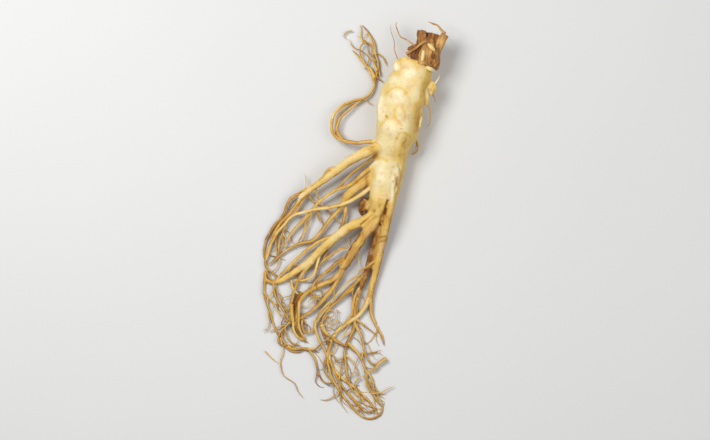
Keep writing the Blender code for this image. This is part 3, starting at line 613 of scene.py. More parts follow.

# %% [markdown]
# ## Wrinkles, creases and swellings
#
# A ginseng root shortens as it grows and pulls its head into the soil, so its skin gathers in rings.
# Those rings are noise stretched round the straightened root, and a wrinkle is cut wherever the noise
# passes zero. Three numbers stretch it: two act across the root and the third along it. The few marks
# that make this root itself, such as the arch on its shoulder and the grooves between the lower legs,
# are drawn as short lines in plan and pressed into the upper side. Each row is a depth and a reach in
# millimetres and a line. Tints and stains have a share of brown or of soil in place of the depth, and a
# tint below zero is paler. A few tints are painted shade or painted highlights, each named beside it.

# %% Marks drawn on the upper side
CREASES = [
    (0.36, 1, [(-8.4, 17), (-6.2, 19.4), (-3, 20.5), (0.5, 20.5), (3.2, 19), (5.2, 16.6)]),
    (0.18, 1.2, [(5.2, 16.6), (6.8, 13.6), (7.6, 10)]),
    (0.3, 1, [(-1, 7.6), (-3, 5), (-4, 2), (-3.8, -1), (-1.5, -3.6), (1.8, -6.8)]),
    (0.26, 0.9, [(1.5, 6.6), (4, 3.6), (4.8, 0), (4.2, -3.5)]),
    (0.2, 1.1, [(-12.6, -6), (-11.2, -4), (-9.4, -2.2), (-6.5, -1.8), (-3.8, -1.6)]),
    (0.25, 1.1, [(-9.2, -0.5), (-10, 2.6)]),
    (0.08, 2.2, [(-9.6, 8.2), (-5, 7.4)]),
    (0.2, 2, [(11.6, 8), (12.6, 2), (13.2, -4), (12.8, -9.6)]),
    (0.32, 0.9, [(-1.8, -16.6), (-0.4, -14), (1.6, -12.2), (4.6, -12.8), (8.4, -15.4)]),
    (0.26, 1.3, [(-1.8, -16.6), (-2.8, -21), (-3, -26), (-3.4, -32)]),
    (0.14, 2.6, [(-9, 21.5), (-10.6, 16)]),
    (0.18, 2.2, [(17.8, 25), (17.2, 17), (16, 11)]),
    (0.14, 1.4, [(-4, 31.4), (-0.5, 29.2)]),
    (0.1, 1.2, [(4, 27.4), (9, 25.2), (12, 24.6)]),
    (0.4, 1.3, [(-20, -29.4), (-16, -30.2), (-12.5, -30.8), (-9.4, -32.4)]),
    (0.45, 0.7, [(-1, -35), (0.2, -36.8), (0.8, -38.8)]),
    (0.6, 0.8, [(-2.7, -42), (-1.7, -45.5), (-1.8, -49.5), (-2.8, -54)]),
    (0.22, 1.2, [(-5.6, -41), (-5.2, -47), (-5.6, -53), (-6.8, -59.5)]),
    (1.6, 1.2, [(-8.2, -61.5), (-9.2, -65), (-10.4, -69), (-12, -73), (-13, -78)]),
    (1.6, 1, [(-18.4, -68.8), (-20.4, -72), (-23, -75), (-27, -78.6)]),
    (0.4, 0.8, [(-14.4, -60), (-14, -66)]),
]
SWELLINGS = [
    (0.85, 4.4, [(-1.4, 15.2), (0, 13.4)]),
    (0.45, 2.1, [(0.4, 2.6), (0.4, -1.6)]),
    (0.7, 3.8, [(-7, -6.5), (-5, -9.6)]),
    (0.8, 1.9, [(-13.8, 13.6), (-14.6, 6), (-14.6, -2)]),
    (0.5, 1.3, [(16.2, 4), (15.8, -3), (14.4, -9)]),
    (0.6, 3, [(6, 29.6), (10, 31.4)]),
    (0.45, 2.6, [(-4, 26), (1, 25)]),
    (0.9, 5, [(-13.8, -35), (-13.4, -44)]),
    (0.6, 2, [(-23.6, -62), (-23.2, -66)]),
    (0.5, 1.6, [(-4.6, -44), (-4.9, -52), (-5.4, -58)]),
]
TINTS_AND_PAINTED_LIGHT = [
    # Painted shadow on the shoulder under the overhanging neck.
    (0.34, 3, [(7, 42.5), (11, 40.5), (14, 37.5)]),
    (0.12, 2, [(20, 29), (19.8, 23), (18.2, 15)]),
    (-0.2, 3.4, [(-1.2, -34), (-2.4, -44), (-4.2, -53), (-5.4, -60)]),
    # Painted shade along the body's right edge.
    (0.26, 2, [(13.4, 8), (13.4, 0), (13, -10)]),
    # Painted highlight on the thin ridge of the right flank.
    (-0.2, 0.9, [(16.6, 3), (16, -4), (14.6, -9)]),
    (0.16, 3, [(3.6, -16.4), (1, -24), (-0.4, -33)]),
    (0.08, 2.4, [(-9, 22), (-10.6, 15.5)]),
    (0.14, 3.2, [(-2, 32.5), (1, 36.5), (1, 39.5)]),
    (0.07, 2.2, [(-10, 8), (-6, 7.2)]),
    (-0.12, 2, [(6.5, 30), (9.5, 31.4)]),
    (0.3, 2.6, [(-19.6, -23.6), (-17, -28)]),
    (0.5, 0.9, [(-9.4, -0.2), (-9, -0.8)]),
    (0.12, 1.4, [(-10.8, -3.6), (-13.4, -6.6)]),
    (0.3, 1.6, [(-23.5, -40), (-24, -50), (-25, -58), (-27, -65)]),
    (0.3, 3.5, [(-92, -120), (-97, -117), (-97, -111)]),
    # Painted shade along the under leg, which lies beneath the others.
    (0.3, 2.4, [(-18.8, -90), (-21, -99), (-24, -110)]),
    (0.16, 1.6, [(-28.6, -84), (-33.4, -92), (-37.4, -100)]),
    (0.12, 2, [(-49.4, -35.6), (-54, -42), (-58, -46.4)]),
]
STAINS = [
    (0.3, 1.1, [(13.4, 0), (13.6, -5), (12.8, -10)]),
    (0.3, 1.2, [(-8.4, -61), (-9, -64)]),
    (0.85, 1.2, [(-9.8, -67), (-10.6, -70)]),
    (0.5, 0.8, [(-1.6, -44), (-1.8, -50)]),
    (0.4, 0.7, [(-4.6, -47), (-4.4, -47.4)]),
    (0.95, 1, [(-30.4, -87.6), (-28.6, -85.4)]),
    (0.8, 0.9, [(-32.4, -90.4), (-31.2, -89.6)]),
    (0.6, 0.7, [(-26.8, -84.2), (-25.6, -85.2)]),
    (0.85, 1.1, [(-34.8, -93.4), (-35.8, -96.6)]),
    (0.75, 1, [(-37.8, -99.6), (-39.2, -103.4)]),
    (0.9, 2, [(-26.4, -64.4), (-28, -68)]),
    (0.4, 1.2, [(-20.4, -96.4), (-22.4, -103)]),
    (0.72, 0.8, [(-9.8, -86.6), (-14.2, -87.6)]),
    (0.62, 0.7, [(-10.6, -90), (-14.6, -91)]),
]


def stroke_share(plan, line, reach):
    """1 on a drawn line, fading to 0 a little past its reach."""
    line = np.array(line, float)
    best = np.full(len(plan), np.inf)
    for a, b in zip(line, line[1:]):
        run = b - a
        t = np.clip(((plan - a) @ run) / (run @ run), 0, 1)
        best = np.minimum(best, np.linalg.norm(plan - a - t[:, None] * run, axis=1))
    return np.exp(-(best / reach) ** 2)


def drawn(plan, marks):
    """The depths or shares of all the marks, added up at each point in plan."""
    return sum(amount * stroke_share(plan, line, reach) for amount, reach, line in marks)


print(len(CREASES), "creases,", len(SWELLINGS), "swellings,", len(TINTS_AND_PAINTED_LIGHT), "tints,", len(STAINS), "stains")

# %% Put every point on its straightened root, and wrinkle the skin
BODY_LUMPS, WIDE_RINGS, FINE_RINGS, GRAIN = 0.42, 0.26, 0.10, 0.05
LEG_LUMPS, LEG_RINGS, LEG_GROOVES = 0.34, 0.22, 0.16


def straighten(points, path, rings):
    """Each point's place across and along its root, as if the root were pulled straight."""
    side, up = frames_along(path)
    off = points - path[rings]
    return np.column_stack([(off * side[rings]).sum(1), (off * up[rings]).sum(1), travelled(path)[rings]])


def valleys(noise_values, sharpness):
    """1 in a narrow line wherever the noise passes zero."""
    return np.exp(-(noise_values * sharpness) ** 2)


gaps, all_rings = nearest_on_trunks(points)
nearest = gaps.argmin(axis=0)
straight = np.zeros_like(points)
for number, ((path, _, _), rings) in enumerate(zip(trunks, all_rings)):
    mine = nearest == number
    straight[mine] = straighten(points[mine], path, rings[mine]) + (0, 0, APART * number)
weight = np.exp(-np.maximum(gaps, 0) / 2.0)
tone = (weight * np.array([t for _, _, t in trunks])[:, None]).sum(0) / weight.sum(0)
on_body = ease(gaps[1:].min(axis=0) - gaps[0], -0.5, 2.0)

broken = ease(wander(straight / (1, 1, 1.6), 9.0, 2), -0.15, 0.35)
rings_wide = valleys(wander(straight * (0.05, 0.05, 0.36), 1.0, 4), 9.0) * broken
rings_fine = valleys(wander(straight * (0.16, 0.16, 0.9), 1.0, 5), 7.0) * (1 - 0.6 * broken)
body_relief = BODY_LUMPS * wander(straight, 11.0, 1) - WIDE_RINGS * rings_wide - FINE_RINGS * rings_fine
body_relief += GRAIN * wander(straight, 1.6, 6)
leg_rings = valleys(wander(straight * (0.22, 0.22, 0.75), 1.0, 7), 6.0)
leg_grooves = wander(straight * (0.7, 0.7, 0.06), 1.0, 8)
leg_relief = LEG_LUMPS * wander(straight, 5.0, 9) - LEG_RINGS * leg_rings + LEG_GROOVES * leg_grooves

normals = read_normals(mesh)
upper = ease(normals[:, 2], 0.05, 0.45)
creased = drawn(points[:, :2], CREASES) * upper
swollen = drawn(points[:, :2], SWELLINGS) * upper
relief = body_relief * on_body + leg_relief * (1 - on_body) + swollen - creased
points = points + normals * relief[:, None]
write_points(mesh, points)
print("the wrinkles go", round(float(-relief.min()), 2), "mm deep")

# %% Keep tone, soil and the straightened place with the skin
# The direction of the key lamp, from which the painted shade below is reckoned.
PAINTED_LIGHT_SIDE = (-0.36, 0.10, 0.92)


def keep_values(mesh, straight, tone, soil):
    """Stores what the skin's material reads at each point."""
    mesh.attributes.new("straight", "FLOAT_VECTOR", "POINT").data.foreach_set("vector", np.ravel(straight))
    for name, values in (("tone", tone), ("soil", soil)):
        mesh.attributes.new(name, "FLOAT", "POINT").data.foreach_set("value", np.ravel(values))


def hollows(mesh, points, edges, rounds):
    """How far each point lies below its neighbours, in millimetres."""
    return ((relax(points, edges, 0.5, rounds) - points) * read_normals(mesh)).sum(1)


hollow = hollows(mesh, points, edges, 5)
stained = drawn(points[:, :2], STAINS) * upper
# Painted shade: the side of each root turned away from the key lamp gets a browner tone, less on the body.
painted_shade = 1 - ease(read_normals(mesh) @ PAINTED_LIGHT_SIDE, 0.08, 0.80)
# Painted shade and highlight: the body's creases are darkened and its swellings made paler, on top of the
# drawn tints.
tints_and_painted_light = drawn(points[:, :2], TINTS_AND_PAINTED_LIGHT) * upper + 0.45 * creased * on_body - 0.16 * swollen
mottled = (0.20 - 0.12 * on_body) * wander(straight / (1, 1, 1.6), 7.0, 13)
tone = np.clip(tone + (0.34 - 0.18 * on_body) * painted_shade + mottled + tints_and_painted_light, 0, 1)
soil = np.clip(0.40 * ease(hollow, 0.04, 0.32) * (1 - 0.6 * on_body) + stained + 0.2 * meeting, 0, 1)
keep_values(mesh, straight, tone, soil)
mesh.shade_smooth()
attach(root_body, "root")
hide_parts("taproot")
print("soil lies on", round(100 * soil.mean()), "percent of the skin")

# %% [markdown]
# ## The skin's colour
#
# Fresh skin is pale cream where it is thick and new, straw on the legs and tawny on old thin roots.
# Brown soil stays in the wrinkles and in short dashes across the root, where it breathes. An image
# could be painted for this, but a node material needs no seams and works at any size: noise read on
# the straightened root gives dashes that run round every root, whichever way it bends.

# %% Helpers for node materials


def start_material(name, roughness):
    """A new material, with its node tree and its shader."""
    material = bpy.data.materials.new(name)
    material.use_nodes = True
    tree = material.node_tree
    shader = tree.nodes["Principled BSDF"]
    shader.inputs["Roughness"].default_value = roughness
    return material, tree, shader


def read_value(tree, name, kind):
    """The stored value of that name, as a node's output."""
    source = tree.nodes.new("ShaderNodeAttribute")
    source.attribute_name = name
    return source.outputs[kind]


def skin_values(tree):
    """The straightened place, the tone and the soil that every skin keeps."""
    return (read_value(tree, "straight", "Vector"), read_value(tree, "tone", "Fac"),
            read_value(tree, "soil", "Fac"))


def stretched(tree, vector, scale):
    """A vector scaled by its own amount along each axis."""
    node = tree.nodes.new("ShaderNodeVectorMath")
    node.operation = "MULTIPLY"
    tree.links.new(vector, node.inputs[0])
    node.inputs[1].default_value = scale
    return node.outputs[0]


def noise_on(tree, vector, scale, detail=3.0, rough=0.55):
    """Noise from 0 to 1 on a vector."""
    node = tree.nodes.new("ShaderNodeTexNoise")
    tree.links.new(vector, node.inputs["Vector"])
    node.inputs["Scale"].default_value = scale
    node.inputs["Detail"].default_value = detail
    node.inputs["Roughness"].default_value = rough
    return node.outputs["Fac"]


def between(tree, value, low, high, to_low=0.0, to_high=1.0):
    """A value remapped smoothly from one span to another."""
    node = tree.nodes.new("ShaderNodeMapRange")
    node.interpolation_type = "SMOOTHSTEP"
    tree.links.new(value, node.inputs["Value"])
    for socket, number in zip(("From Min", "From Max", "To Min", "To Max"), (low, high, to_low, to_high)):
        node.inputs[socket].default_value = number
    return node.outputs["Result"]


def mixed(tree, share, first, second):
    """One colour turning to another by a share. Each may be a node's output or a plain colour."""
    node = tree.nodes.new("ShaderNodeMix")
    node.data_type = "RGBA"
    tree.links.new(share, node.inputs["Factor"])
    for socket, colour in zip((node.inputs[6], node.inputs[7]), (first, second)):
        if isinstance(colour, tuple):
            socket.default_value = (*colour, 1)
        else:
            tree.links.new(colour, socket)
    return node.outputs[2]


def worked_out(tree, operation, *values):
    """Simple arithmetic on values, each a node's output or a plain number."""
    node = tree.nodes.new("ShaderNodeMath")
    node.operation = operation
    for socket, value in zip(node.inputs, values):
        if isinstance(value, float):
            socket.default_value = value
        else:
            tree.links.new(value, socket)
    return node.outputs[0]


def product(tree, first, second):
    """Two values multiplied."""
    return worked_out(tree, "MULTIPLY", first, second)


def graded(tree, value, steps):
    """A colour for each value, from a list of (value, colour)."""
    node = tree.nodes.new("ShaderNodeValToRGB")
    tree.links.new(value, node.inputs["Fac"])
    marks = node.color_ramp.elements
    while len(marks) < len(steps):
        marks.new(0.5)
    for mark, (place, colour) in zip(marks, steps):
        mark.position = place
        mark.color = (*colour, 1)
    return node.outputs["Color"]


def raised(tree, shader, height, strength, depth_mm):
    """Fine relief that needs no extra faces."""
    node = tree.nodes.new("ShaderNodeBump")
    node.inputs["Strength"].default_value = strength
    node.inputs["Distance"].default_value = depth_mm * MM
    tree.links.new(height, node.inputs["Height"])
    tree.links.new(node.outputs["Normal"], shader.inputs["Normal"])


print("helpers ready")

# %% Skin for the body, the legs and every rootlet
TONES = [
    (0, (0.93, 0.84, 0.565)), (0.14, (0.85, 0.7, 0.36)), (0.3, (0.81, 0.57, 0.165)),
    (0.52, (0.64, 0.375, 0.08)), (0.78, (0.43, 0.21, 0.038)), (1, (0.2, 0.075, 0.014)),
]
CREAM = (0.93, 0.84, 0.57)
STRAW = (0.88, 0.67, 0.23)
RUST = (0.50, 0.235, 0.04)
TAN = (0.68, 0.42, 0.14)
ROSY = (0.86, 0.61, 0.35)
SOIL = (0.33, 0.135, 0.03)
WET_SOIL = (0.11, 0.038, 0.009)

ginseng_skin, tree, shader = start_material("ginseng_skin", 0.46)
grown, tone_here, soil_here = skin_values(tree)
colour = graded(tree, tone_here, TONES)
pale_patch = between(tree, noise_on(tree, grown, 0.07, 2.0), 0.45, 0.72)
new_skin = between(tree, tone_here, 0.0, 0.35, 0.5, 0.0)
old_skin = between(tree, tone_here, 0.20, 0.42)
colour = mixed(tree, product(tree, pale_patch, new_skin), colour, CREAM)
streaks = noise_on(tree, stretched(tree, grown, (0.8, 0.8, 0.08)), 1.0, 4.0, 0.6)
dry_streak = product(tree, old_skin, between(tree, tone_here, 0.60, 0.90, 1.0, 0.0))
colour = mixed(tree, product(tree, dry_streak, between(tree, streaks, 0.46, 0.66, 0.0, 0.55)), colour, STRAW)
blotches = noise_on(tree, stretched(tree, grown, (0.30, 0.30, 0.20)), 1.0, 4.0, 0.65)
colour = mixed(tree, product(tree, old_skin, between(tree, blotches, 0.52, 0.66, 0.0, 0.65)), colour, RUST)
colour = mixed(tree, between(tree, noise_on(tree, grown, 0.11, 3.0), 0.50, 0.70, 0.0, 0.45), colour, ROSY)
tan_patch = product(tree, between(tree, noise_on(tree, grown, 0.22, 5.0, 0.65), 0.50, 0.72, 0.0, 0.50),
                    between(tree, tone_here, 0.70, 0.95, 1.0, 0.0))
colour = mixed(tree, tan_patch, colour, TAN)
dashes = noise_on(tree, stretched(tree, grown, (0.28, 0.28, 1.5)), 1.0, 4.0, 0.6)
colour = mixed(tree, between(tree, dashes, 0.60, 0.76, 0.0, 0.42), colour, SOIL)
specks = noise_on(tree, stretched(tree, grown, (1.0, 1.0, 1.8)), 1.6, 2.0, 0.5)
colour = mixed(tree, between(tree, specks, 0.68, 0.80, 0.0, 0.5), colour, SOIL)
colour = mixed(tree, between(tree, soil_here, 0.05, 0.95, 0.0, 0.88), colour, SOIL)
colour = mixed(tree, between(tree, soil_here, 0.45, 1.0, 0.0, 0.75), colour, WET_SOIL)
tree.links.new(colour, shader.inputs["Base Color"])
tree.links.new(between(tree, dashes, 0.3, 0.8, 0.40, 0.62), shader.inputs["Roughness"])
FLESH = {"Specular IOR Level": 0.15, "Subsurface Weight": 0.18, "Subsurface Radius": (1.0, 0.55, 0.25),
         "Subsurface Scale": 1.6 * MM}
for socket, value in FLESH.items():
    shader.inputs[socket].default_value = value
pores = noise_on(tree, stretched(tree, grown, (1.0, 1.0, 2.2)), 2.4, 4.0, 0.65)
raised(tree, shader, pores, 0.5, 0.3)
root_body.data.materials.clear()
root_body.data.materials.append(ginseng_skin)
print("the skin has", len(tree.nodes), "nodes")

# %% [markdown]
# ## Branches and strands
#
# Past the legs the roots are thin enough to be tubes of their own, sunk into what they grow from. Their
# line trembles and their thickness beads a little. Without that they look like wire.

# %% Long branches and thin strands
TREMBLES, SWELLS, BEADS, TONE_PATCHES = 6.5, 3.2, 1.3, 12.0
TIP_LENGTH = 5.0
BRANCH_STEP = 1.1
BRANCH_SEED, STRAND_SEED = 20, 70


def living_tube(root, seed, step=BRANCH_STEP, sides=9, tremble=0.4):
    """A thin root: its line trembles and its thickness swells and shrinks."""
    path, radii = root_path(root, step, BRANCH_TAPER)
    gone = travelled(path)
    free = ease(gone, 2.0, 14.0)
    for axis, reach in ((0, tremble), (1, tremble), (2, 0.5 * tremble)):
        path[:, axis] += reach * free * wander(path + 40 * axis, TREMBLES, seed + 0.37 * axis)
    radii = radii * (1 + 0.16 * wander(path, SWELLS, seed + 9) + 0.09 * wander(path, BEADS, seed + 17))
    radii = radii * np.sqrt(np.clip((gone[-1] - gone + 0.6) / TIP_LENGTH, 0.04, 1))
    path[:, 2] = np.maximum(path[:, 2], radii * REST_SHARE)
    patches = 0.26 * wander(path, TONE_PATCHES, seed + 23)
    tone = np.clip(root.tone - 0.07 + 0.12 * (gone / gone[-1]) + patches, 0, 1)
    return path, tube(path, radii, sides, tone, seed)


def grown_skins(roots, seed, **finish):
    """The skins of several thin roots. Their lines are kept for what grows beside them."""
    skins = []
    for number, root in enumerate(roots):
        path, skin = living_tube(root, seed + number, **finish)
        lines[root.name] = (path, root.tone)
        skins.append(skin)
    return skins


def joined_piece(name, skins, material, soil_reach):
    """One piece from many skins, with soil in patches."""
    joined = gather(skins)
    piece = new_piece(name, joined.points, joined.faces)
    soil = soil_reach * ease(wander(joined.straight / (1, 1, 2.5), 2.2, 61), 0.05, 0.6)
    keep_values(piece.data, joined.straight, joined.tone, soil)
    piece.data.materials.append(material)
    return piece


def skin_piece(name, skins, soil_reach=0.35):
    """One piece from many tubes, in the root's own skin."""
    piece = joined_piece(name, skins, ginseng_skin, soil_reach)
    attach(piece, "root")
    return piece


lines = {}
branch_roots = skin_piece("branch_roots", grown_skins(BRANCHES, BRANCH_SEED))
thin_strands = skin_piece("thin_strands", grown_skins(STRANDS, STRAND_SEED, sides=7, tremble=0.6))
print("branches have", len(branch_roots.data.polygons), "faces, strands", len(thin_strands.data.polygons))

# %% [markdown]
# ## Rootlets that nobody could trace
#
# Between the long branches lie more rootlets than an eye can follow. They are drawn by a rule instead:
# each leaves a branch, keeps it company for a while with a small lean, and wanders off. Every fourth
# crosses its neighbours. Many tries are skipped, most of them where the real fan is open. The draw is
# seeded, so the same root grows each time.

# %% Seeded rootlets beside the branches
FAN = [
    (-98.6, -88), (-91, -77), (-84.5, -70), (-82.5, -60), (-76, -55), (-62, -42), (-46, -22), (-50, 6),
    (-30, 16), (0, 12), (12, -30), (2, -62), (-6, -92), (-10, -130), (-8, -150), (-11, -175), (-9, -200),
    (-11, -218), (-34, -218.6), (-52, -204), (-64, -190), (-68, -174), (-88, -168), (-98.6, -158),
]
TRIES = 210
ROOTLET_SEED = 120
STRIDE = 3.6
OPEN_ABOVE = -105.0
WEB = (-100.0, -55.0, -152.0, -105.0)
SKIPPED_OPEN, SKIPPED_WEB, SKIPPED_ELSEWHERE = 0.85, 0.45, 0.6
FEWEST_POINTS = 4


def inside_fan(spot):
    """True within the outline that the whole fan of roots fills in plan."""
    inside = False
    for (ax, ay), (bx, by) in zip(FAN, FAN[1:] + FAN[:1]):
        if (ay > spot[1]) != (by > spot[1]) and spot[0] < ax + (bx - ax) * (spot[1] - ay) / (by - ay):
            inside = not inside
    return inside


def company(path, first, lean, curl, strides, phase, sway):
    """A route in plan that leaves a line at one of its points and runs beside it, within the fan."""
    jump = round(STRIDE / BRANCH_STEP)
    point, route = path[first, :2].copy(), []
    for step in range(strides):
        if not inside_fan(point):
            break
        route.append(tuple(point))
        near = min(first + jump * step, len(path) - 2)
        along = path[near + 1] - path[near]
        over = max(0, first + jump * step - near) / jump
        heading = math.atan2(along[1], along[0]) + lean + curl * over + sway * math.sin(phase + 1.15 * step)
        point = point + STRIDE * np.array((math.cos(heading), math.sin(heading)))
    return route


draw = random.Random(31)
LONELY = ("tangle", "side_hair", "curled", "lateral")
hosts = [root.name for root in BRANCHES if not root.name.startswith(LONELY)]
rootlet_skins = []
for number in range(TRIES):
    path, host_tone = lines[draw.choice(hosts)]
    first = int(len(path) * draw.uniform(0.12, 0.85))
    x, y, start = path[first]
    in_web = WEB[0] < x < WEB[1] and WEB[2] < y < WEB[3]
    if draw.random() < (SKIPPED_OPEN if y > OPEN_ABOVE else SKIPPED_WEB if in_web else SKIPPED_ELSEWHERE):
        continue
    crossing = number % 4 == 3
    lean = draw.choice((-1, 1)) * (draw.uniform(0.6, 1.3) if crossing else draw.uniform(0.06, 0.5))
    strides = draw.randint(4, 7) if crossing or in_web else draw.randint(6, 13)
    curl, phase = draw.uniform(-0.25, 0.25), draw.uniform(0, 6.28)
    route = company(path, first, lean, curl, strides, phase, sway=0.9 if in_web else 0.36)
    if len(route) < FEWEST_POINTS:
        continue
    width = draw.uniform(0.45, 1.05)
    rise = draw.uniform(-1.0, 2.6) * min(1.0, start / 4)
    heights = (start, max(0.4, start * 0.7 + rise), max(0.3, start * 0.45), draw.uniform(0.3, 1.6))
    tone = min(0.85, max(0.2, host_tone + draw.uniform(-0.3, 0.25)))
    root = Root("rootlet", (width, width * 0.55), heights, tone, route)
    rootlet_skins.append(living_tube(root, ROOTLET_SEED + number, step=1.4, sides=5, tremble=0.8)[1])
fine_rootlets = skin_piece("fine_rootlets", rootlet_skins)
print(len(rootlet_skins), "rootlets have", len(fine_rootlets.data.polygons), "faces")

# %% [markdown]
# ## Hairs and torn skin
#
# Where the root was pulled from the soil its finest hairs broke off short. Each is a tiny spike with
# three sides, which is all that shows at this size. On the right flank a strip of skin has peeled away
# and hangs from the body in rags. It is a thin sheet with a torn edge, bent so that it lifts.

# %% Short broken hairs
HAIR_TRIES = 300


def hair(start, way, length, thick, bend, tone, seed):
    """One short spike that droops towards the surface."""
    share = np.linspace(0, 1, 5)[:, None]
    side = np.array((-way[1], way[0], 0.0))
    droop = (0, 0, 1) * (start[2] * 0.35 * share**2)
    path = start + way * length * share + side * bend * share**2 - droop
    return tube(path, thick * (1.05 - share[:, 0]), 3, tone, seed)


draw = random.Random(77)
rooted = [name for name in lines if not name.startswith(("tangle", "lateral", "curled"))]
hair_skins = []
for number in range(HAIR_TRIES):
    path, tone = lines[draw.choice(rooted)]
    at = int(len(path) * draw.uniform(0.15, 0.97))
    along = path[min(at + 1, len(path) - 1)] - path[at - 1]
    turned = math.atan2(along[1], along[0]) + draw.choice((-1, 1)) * draw.uniform(0.4, 1.3)
    way = np.array((math.cos(turned), math.sin(turned), draw.uniform(-0.1, 0.25)))
    length = draw.uniform(1.0, 3.8)
    if inside_fan(path[at, :2] + way[:2] * length):
        hair_skins.append(hair(path[at], way, length, draw.uniform(0.13, 0.24), draw.uniform(-1.2, 1.2),
                               min(0.9, tone + draw.uniform(0.0, 0.3)), number * 0.3))
root_hairs = skin_piece("root_hairs", hair_skins)
print(len(hair_skins), "hairs have", len(root_hairs.data.polygons), "faces")

# %% [markdown]
# ## Sheets
#
# The peeled skin and the leaf bases of the neck are the same kind of thing: a thin sheet on a bent
# middle line, arched across, ridged along its fibres and torn at its end. One builder makes them all.
# A flat plane with a cut-out picture would look right only from above.

# %% A thin torn sheet
Sheet = namedtuple("Sheet", "name line widths arch torn tone")
SHEET_RIDGES = 0.09
FIBRE_RIDGES = 0.16
NEAR = 0.04


def on_line(line, share):
    """The place on a line at a share of its points."""
    return np.array([np.interp(share, np.linspace(0, 1, len(line)), line[:, k]) for k in range(3)])


def sheet_seed(item):
    """A number of the sheet's own, so that no two sheets share their noise."""
    return sum(item.widths) + item.arch


def sheet_point(item, line, share, across, ridge):
    """The place on a sheet at a share of its length and from -1 to 1 across it, and its upward side."""
    place, ahead, back = (on_line(line, s) for s in (share, share + NEAR, share - NEAR))
    way = (ahead - back) / np.linalg.norm(ahead - back)
    side = np.cross(way, (0, 0, 1))
    side /= np.linalg.norm(side)
    up = np.cross(side, way)
    wide = np.interp(share, np.linspace(0, 1, len(item.widths)), item.widths) / 2
    seed = sheet_seed(item)
    wide *= 1 + 0.16 * noise.noise((4.5 * share, seed, 2.0 * across))
    lift = item.arch * (0.6 - across**2)
    lift += ridge * math.sin(wide * across * 4.2 + 2.0 * noise.noise((3 * share, across, seed)))
    lift += 0.7 * noise.noise((share * 3.5 + seed, across * 1.4, 0.0))
    return place + side * across * wide + up * lift, up


def sheet_skin(item, rows, columns, thick):
    """A closed thin solid, whose far end is cut short by a different amount in each column."""
    line = smooth_route(item.line, 0.5)
    length = travelled(line)[-1]
    seed = sheet_seed(item)
    upper, lower, straight, edged = [], [], [], []
    for row in range(rows):
        for column in range(columns):
            across = 2 * column / (columns - 1) - 1
            tear = 0.5 + 0.5 * noise.noise((across * 2.2 + seed, 3.0, 0.0))
            slit = math.exp(-(noise.noise((across * 3.1, seed, 7.0)) * 9) ** 2)
            share = row / (rows - 1) * (1 - item.torn * (0.9 * tear + 0.25 * slit + 0.25 * across**2))
            point, up = sheet_point(item, line, share, across, SHEET_RIDGES)
            half = thick / 2 * (1 - 0.6 * across**4) * (1 - 0.5 * (row / (rows - 1)) ** 3)
            upper.append(point + up * half)
            lower.append(point - up * half)
            straight.append((across * item.widths[0] / 2 + 60 * seed, 0.0, share * length))
            edged.append(max(abs(across) ** 8, (row / (rows - 1)) ** 12))
    faces, below = [], rows * columns
    for row in range(rows - 1):
        for column in range(columns - 1):
            a = row * columns + column
            b, c, d = a + 1, a + columns + 1, a + columns
            faces.append((a, b, c, d))
            faces.append((d + below, c + below, b + below, a + below))
    rim = [*range(columns), *range(2 * columns - 1, below, columns)]
    rim += [*range(below - 2, below - columns - 1, -1), *range(below - 2 * columns, 0, -columns)]
    for a, b in zip(rim, rim[1:] + rim[:1]):
        faces.append((b, a, a + below, b + below))
    points = np.array(upper + lower)
    tones = item.tone + 0.22 * wander(points, 3.4, seed) + 0.30 * np.array(edged * 2)
    return Skin(points, faces, np.array(straight * 2), np.clip(tones, 0, 1))


print("sheets are ready")

# %% The peeled strip on the right flank
PEEL = [
    Sheet("peel_flap", [
        (20.4, 26, 17.5), (22.5, 22, 20), (23, 17, 19.6),
        (22.2, 11.8, 17.4)], (4.2, 7.4, 7.6, 4.2), 0.8, 0.55, 0.25),
    Sheet("peel_strip", [
        (18, 20.5, 20.6), (19, 14, 20.8), (19.6, 9, 19.2),
        (20.2, 5, 17.2)], (4.4, 5.2, 4.2, 3), 0.7, 0.42, 0.22),
    Sheet("peel_edge", [
        (14.4, 9, 20.4), (15.8, 3, 20.4), (15.4, -4, 19.8),
        (13.2, -11, 18.6)], (1.6, 2.2, 2.2, 1.4), 0.5, 0.2, 0.14),
]
PEEL_THREADS = [
    Root("peel_thread", (1, 0.45), (18.4, 16, 11, 7, 3), 0.35, [
        (20, 11), (21, 7.4), (22.3, 4), (22.6, -1), (21.6, -5.5), (19.6, -9.2)]),
    Root("peel_top", (1.2, 0.5), (18, 20, 19), 0.12, [
        (24.5, 22), (27.2, 25.3), (28.6, 27.6), (29.3, 29.6)]),
    Root("peel_rag", (0.9, 0.4), (19.4, 17.4, 15, 13), 0.5, [
        (23.6, 19.4), (24.4, 15.4), (25.8, 12.6), (25.8, 9.8)]),
    Root("hook_hair", (0.9, 0.4), (14, 11, 7, 3), 0.2, [
        (10.6, -12), (12.3, -16), (12.4, -20.4), (11.1, -25), (8.3, -28)]),
    Root("hook_twin", (0.8, 0.4), (13, 10, 7), 0.2, [
        (12.2, -15), (13.6, -19), (15.4, -22), (17.4, -25.2)]),
]
PEEL_SEED = 500
peel_skins = [sheet_skin(item, rows=48, columns=27, thick=0.34) for item in PEEL]
peel_skins += grown_skins(PEEL_THREADS, PEEL_SEED, step=0.8, sides=7, tremble=0.5)
torn_skin = skin_piece("torn_skin", peel_skins, 0.5)
print("the torn skin has", len(torn_skin.data.polygons), "faces")

# %% [markdown]
# ## The neck
#
# The rhizome is the short underground stem. Every autumn one stem dies off it and leaves a scar, so it is
# a stack of knobby lumps. It is built like the body: lumps joined in one even skin, then fibrous ridges
# that run along it.

